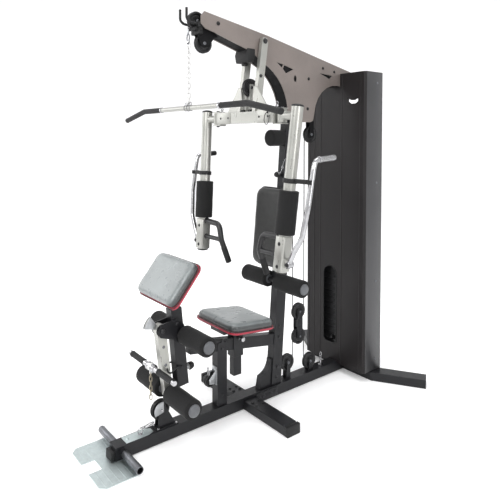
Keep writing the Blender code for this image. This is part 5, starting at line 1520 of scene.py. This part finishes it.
def build_base_details():
    dark, bright = bmesh.new(), bmesh.new()
    beam_rear_y = REAR - 0.6504
    for sign in SIGNS:
        box(dark, (sign * 0.0352, beam_rear_y - 0.075, 0.012),
            (sign * 0.0392, beam_rear_y + 0.085, 0.058), 0.0015)
        for shift in (-0.055, -0.020, 0.030, 0.065):
            bolt(bright, (sign * 0.0392, beam_rear_y + shift, 0.035), (sign, 0, 0), 0.0075)
        for level in (0.105, 0.165, 0.335, 0.395, 0.700, 1.350, 1.520):
            y = upright_front(level) + 0.035
            bolt(bright, (sign * 0.025, y, level), (sign, 0, 0), 0.0075 if level < 0.5 else 0.0060)
        for y, z in ((-0.945, 0.120), (-0.945, 0.365), (-0.945, 0.405)):
            bolt(bright, at(0.0235 * sign, y, z), (sign, 0, 0), 0.0068)
    corner_a, corner_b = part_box("mid_foot")
    for sign in SIGNS:
        for y in (corner_a.y + 0.020, corner_b.y - 0.020):
            bolt(bright, (sign * 0.085, y, corner_b.z), (0, 0, 1), 0.0085)
            bolt(bright, (sign * 0.120, y, corner_b.z), (0, 0, 1), 0.0070)
    piece(dark, "splice_plates", BLACK, "frame", "frame_black")
    piece(bright, "frame_bolts", BLACK_OXIDE, "frame", "zinc_sheet")

    bm = bmesh.new()
    for sign in SIGNS:
        box(bm, (sign * 0.362, corner_a.y - 0.0012, corner_a.z),
            (sign * 0.384, corner_b.y + 0.0012, corner_b.z + 0.0012), 0.004)
    piece(bm, "foot_caps", RUBBER, "frame", "knob_plastic")

    peg_y, peg_z = REAR - 1.511, 0.037
    bm = bmesh.new()
    for sign in SIGNS:
        lathe(bm, [(0, 0.0120), (0, 0.0158), (0.003, 0.0172), (0.150, 0.0172), (0.1525, 0.0163),
                   (0.153, 0.0145), (0.151, 0.0138), (0.120, 0.0136), (0.119, 0)],
              (sign * 0.0545, peg_y, peg_z), (sign, 0, 0), 40)
    piece(bm, "peg_sleeves", GUNMETAL, "frame", "chrome")
    bm = bmesh.new()
    box(bm, (-0.030, peg_y - 0.054, 0.0045), (0.030, peg_y - 0.0335, 0.046), 0.003)
    for sign in SIGNS:
        lathe(bm, [(0, 0), (0, 0.0130), (0.002, 0.0130), (0.002, 0)], (sign * 0.180, peg_y, peg_z),
              (sign, 0, 0), 24)
    piece(bm, "peg_blocks", RUBBER, "frame", "knob_plastic")

    tongue_a, tongue_b = REAR - 1.490, REAR - 1.345
    bm = bmesh.new()
    outline = [(x, y, BEAM_TOP) for x, y in
               ((-0.030, tongue_a), (0.030, tongue_a), (0.030, tongue_b - 0.03), (0.016, tongue_b),
                (-0.016, tongue_b), (-0.030, tongue_b - 0.03))]
    slab(bm, outline, (0, 0, 1), 0.0022, 0.0008)
    for shift in (0.018, 0.100):
        domed_bolt(bm, (0, tongue_a + shift, BEAM_TOP + 0.0022), (0, 0, 1), 0.0065)
    piece(bm, "foot_tongue", FOOT_ZINC, "frame", "zinc_sheet")

    corner_a, corner_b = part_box("foot_plate")
    bm = bmesh.new()
    for k in range(5):
        y = corner_a.y + 0.024 + 0.031 * k
        for sign in SIGNS:
            outline = [(sign * x, y + wide, corner_b.z - 0.0004) for x, wide in
                       ((0.054, 0), (0.170, 0), (0.170, 0.004), (0.054, 0.004))]
            slab(bm, outline, (0, 0, 1), 0.0008, 0.0004)
    piece(bm, "foot_ridges", FOOT_ZINC, "frame", "zinc_sheet")

    bm = bmesh.new()
    clip_y = REAR - 0.180
    for k, z in enumerate((0.108, 0.128)):
        link_at = Vector((0, clip_y + 0.004 * k, z))
        sweep(bm, oval(link_at, Vector((0.0075, 0, 0)), Vector((0, 0, 0.013)), 20), 0.0023, 10,
              closed=True)
    lathe(bm, [(0, 0), (0, 0.014), (0.004, 0.014), (0.006, 0.008), (0.030, 0.0075), (0.031, 0)],
          (0, clip_y, BEAM_TOP), (0, 0, 1), 24)
    piece(bm, "tower_clip", CHROME, "frame", "chrome")


def build_back_lock():
    """The backrest's lock pin with its knob and retaining chain, and the pad's clamps."""
    level = 1.262
    start = Vector((0.0, upright_front(level), level))
    bm = bmesh.new()
    lobed_cap(bm, start + Vector((0, -0.020, 0)), (0, -1, 0), 0.0165, 6, 0.022)
    lathe(bm, [(0, 0), (0, 0.0125), (0.018, 0.0125), (0.020, 0.010), (0.020, 0)],
          start, (0, -1, 0), 6)
    piece(bm, "back_lock_knob", RUBBER, "frame", "knob_plastic")
    bm = bmesh.new()
    path = rounded_path([start + Vector(p) for p in
                         ((0.012, -0.030, 0.006), (0.050, -0.045, 0.010),
                          (0.052, -0.020, 0.085), (0.026, 0.030, 0.098))], 0.06, 8)
    points = [path[0]]
    for p in path[1:]:
        if (p - points[-1]).length > 0.0125:
            points.append(p)
    for a, b in zip(points, points[1:]):
        chain(bm, a, b, 0.0125, 0.0013, 0.0036)
    ring(bm, start + Vector((0.012, -0.030, 0.006)), (0, 1, 0), 0.007, 0.0015, 24, 8)
    domed_bolt(bm, start + Vector((0.025, 0.030, 0.098)), (1, 0, 0), 0.005)
    piece(bm, "back_lock_chain", CHROME, "frame", "chrome")
    bm = bmesh.new()
    for level in (0.86, 1.10):
        y = upright_front(level)
        box(bm, (-0.045, y - 0.012, level - 0.034), (0.045, y - 0.001, level + 0.034), 0.002)
        for sign in SIGNS:
            bolt(bm, (sign * 0.037, y - 0.001, level + 0.022), (0, 1, 0), 0.0052)
    piece(bm, "back_clamps", BLACK, "frame", "frame_black")


# ---------------------------------------------------------------- CAD nodes that stay

NODE_MATERIALS = {
    BLACK: ("beam_front", "beam_rear", "mid_foot", "rear_foot", "main_upright",
            "seat_beam", "leg_post", "low_pulley_bracket", "float_bracket", "seat_slider",
            "preacher_stem"),
    MATTE: ("boom_core",),
    BOOM_GREY: ("boom_plate_left", "boom_plate_right"),
    SILVER: ("press_yoke", "leg_lever"),
    FOOT_ZINC: ("foot_plate",),
    SHROUD: ("front_shroud", "rear_shroud"),
    CHROME: ("guide_rod_left", "guide_rod_right"),
    PLATE_IRON: ("resting_plates", "lifting_plates"),
}


def finish_nodes():
    for material, names in NODE_MATERIALS.items():
        for name in names:
            mesh = NODES[name].data
            mesh.materials.clear()
            mesh.materials.append(material)


# ---------------------------------------------------------------- stage, light, camera

def plain(name, colour, rough):
    """The floor: pale seamless card with a very faint mottling."""
    n = Nodes(name)
    patches = n.ramp(n.noise(2.2, 5), "Fac",
                     [(0.3, shaded(colour, 0.985)), (0.7, colour)])
    n.link(patches, "Color", n.shader, "Base Color")
    n.set("Roughness", rough)
    n.set("Specular IOR Level", 0.2)
    n.link(patches, "Color", n.shader, "Emission Color")
    n.set("Emission Strength", 0.16)
    return n.material


def build_stage():
    """A round studio floor that curves up into a pale wall on every side."""
    bm = bmesh.new()
    flat, bend_radius, rise, sides = 11.0, 3.0, 9.0, 96
    profile = [(2.0, 0.0), (5.0, 0.0), (flat, 0.0)]
    for k in range(1, 13):
        turn = math.radians(90 * k / 12)
        profile.append((flat + bend_radius * math.sin(turn), bend_radius * (1 - math.cos(turn))))
    profile.append((flat + bend_radius, rise))
    rings = [[bm.verts.new(p) for p in oval(Vector((0, 0, z - 0.0005)), Vector((reach, 0, 0)),
                                            Vector((0, reach, 0)), sides)]
             for reach, z in profile]
    bm.faces.new(rings[0])
    bridge(bm, rings)
    mesh_object("studio_floor", bm, plain("floor_card", (0.93, 0.93, 0.93), 0.75))


def area_light(name, place, target, size, power, colour=(1, 1, 1)):
    data = bpy.data.lights.new(name, "AREA")
    data.shape, data.size, data.size_y = "RECTANGLE", size[0], size[1]
    data.energy, data.color = power, colour
    lamp = bpy.data.objects.new(name, data)
    lamp.location = place
    lamp.rotation_mode = "QUATERNION"
    lamp.rotation_quaternion = (Vector(target) - Vector(place)).to_track_quat("-Z", "Y")
    scene.collection.objects.link(lamp)


SKY_STRENGTH = 1.0
VIEW_GAMMA = 0.87                  # lifts the mid greys towards the photo's


def build_light():
    scene.view_settings.view_transform = "Standard"
    scene.view_settings.gamma = VIEW_GAMMA
    world = bpy.data.worlds.new("studio")
    world.use_nodes = True
    tree = world.node_tree
    sky = tree.nodes["Background"]
    sky.inputs["Strength"].default_value = SKY_STRENGTH
    place = tree.nodes.new("ShaderNodeTexCoord")
    split = tree.nodes.new("ShaderNodeSeparateXYZ")
    ramp = tree.nodes.new("ShaderNodeValToRGB")
    stops = ((0.0, 0.30), (0.30, 0.42), (0.62, 1.0))
    ramp.color_ramp.elements.new(0.5)
    for element, (position, grey) in zip(ramp.color_ramp.elements, stops):
        element.position, element.color = position, (grey, grey, grey * 1.01, 1)
    tree.links.new(place.outputs["Generated"], split.inputs["Vector"])
    tree.links.new(split.outputs["Z"], ramp.inputs["Fac"])
    tree.links.new(ramp.outputs["Color"], sky.inputs["Color"])
    scene.world = world
    area_light("key", (1.2, -4.2, 3.6), (0, 0, 0.9), (2.6, 2.2), 105)
    area_light("side", (4.6, -0.6, 2.2), (0, 0, 1.0), (1.6, 2.6), 55)
    area_light("fill", (-3.8, -2.4, 2.4), (0, 0, 0.9), (2.6, 2.6), 35)
    area_light("top", (0.0, 0.2, 5.2), (0, 0, 0.6), (3.4, 3.4), 95)


CAMERA_PLACE = Vector((2.204, -1.7865, 1.466))
CAMERA_TURN = 51.3
CAMERA_PITCH = -2.08
CAMERA_LENS = 37.3
CAMERA_SHIFT = -0.185


def build_camera():
    data = bpy.data.cameras.new("photo_view")
    data.lens, data.sensor_width, data.shift_y = CAMERA_LENS, 36.0, CAMERA_SHIFT
    data.dof.use_dof = False
    camera = bpy.data.objects.new("photo_view", data)
    camera.location = CAMERA_PLACE
    camera.rotation_euler = (math.radians(90 + CAMERA_PITCH), 0, math.radians(CAMERA_TURN))
    scene.collection.objects.link(camera)
    scene.camera = camera


build_camera()
build_stage()
build_light()
finish_nodes()
build_pads()
build_rollers()
for arm_sign, arm_word in reversed(SIDES):
    build_arm(arm_sign, arm_word)
    build_lever(arm_sign, arm_word)
build_yoke()
build_lat()
build_knobs()
build_leg_station()
build_low_fittings()
build_pulleys()
build_cables()
build_tower()
build_stack()
build_boom_details()
build_base_details()
build_back_lock()
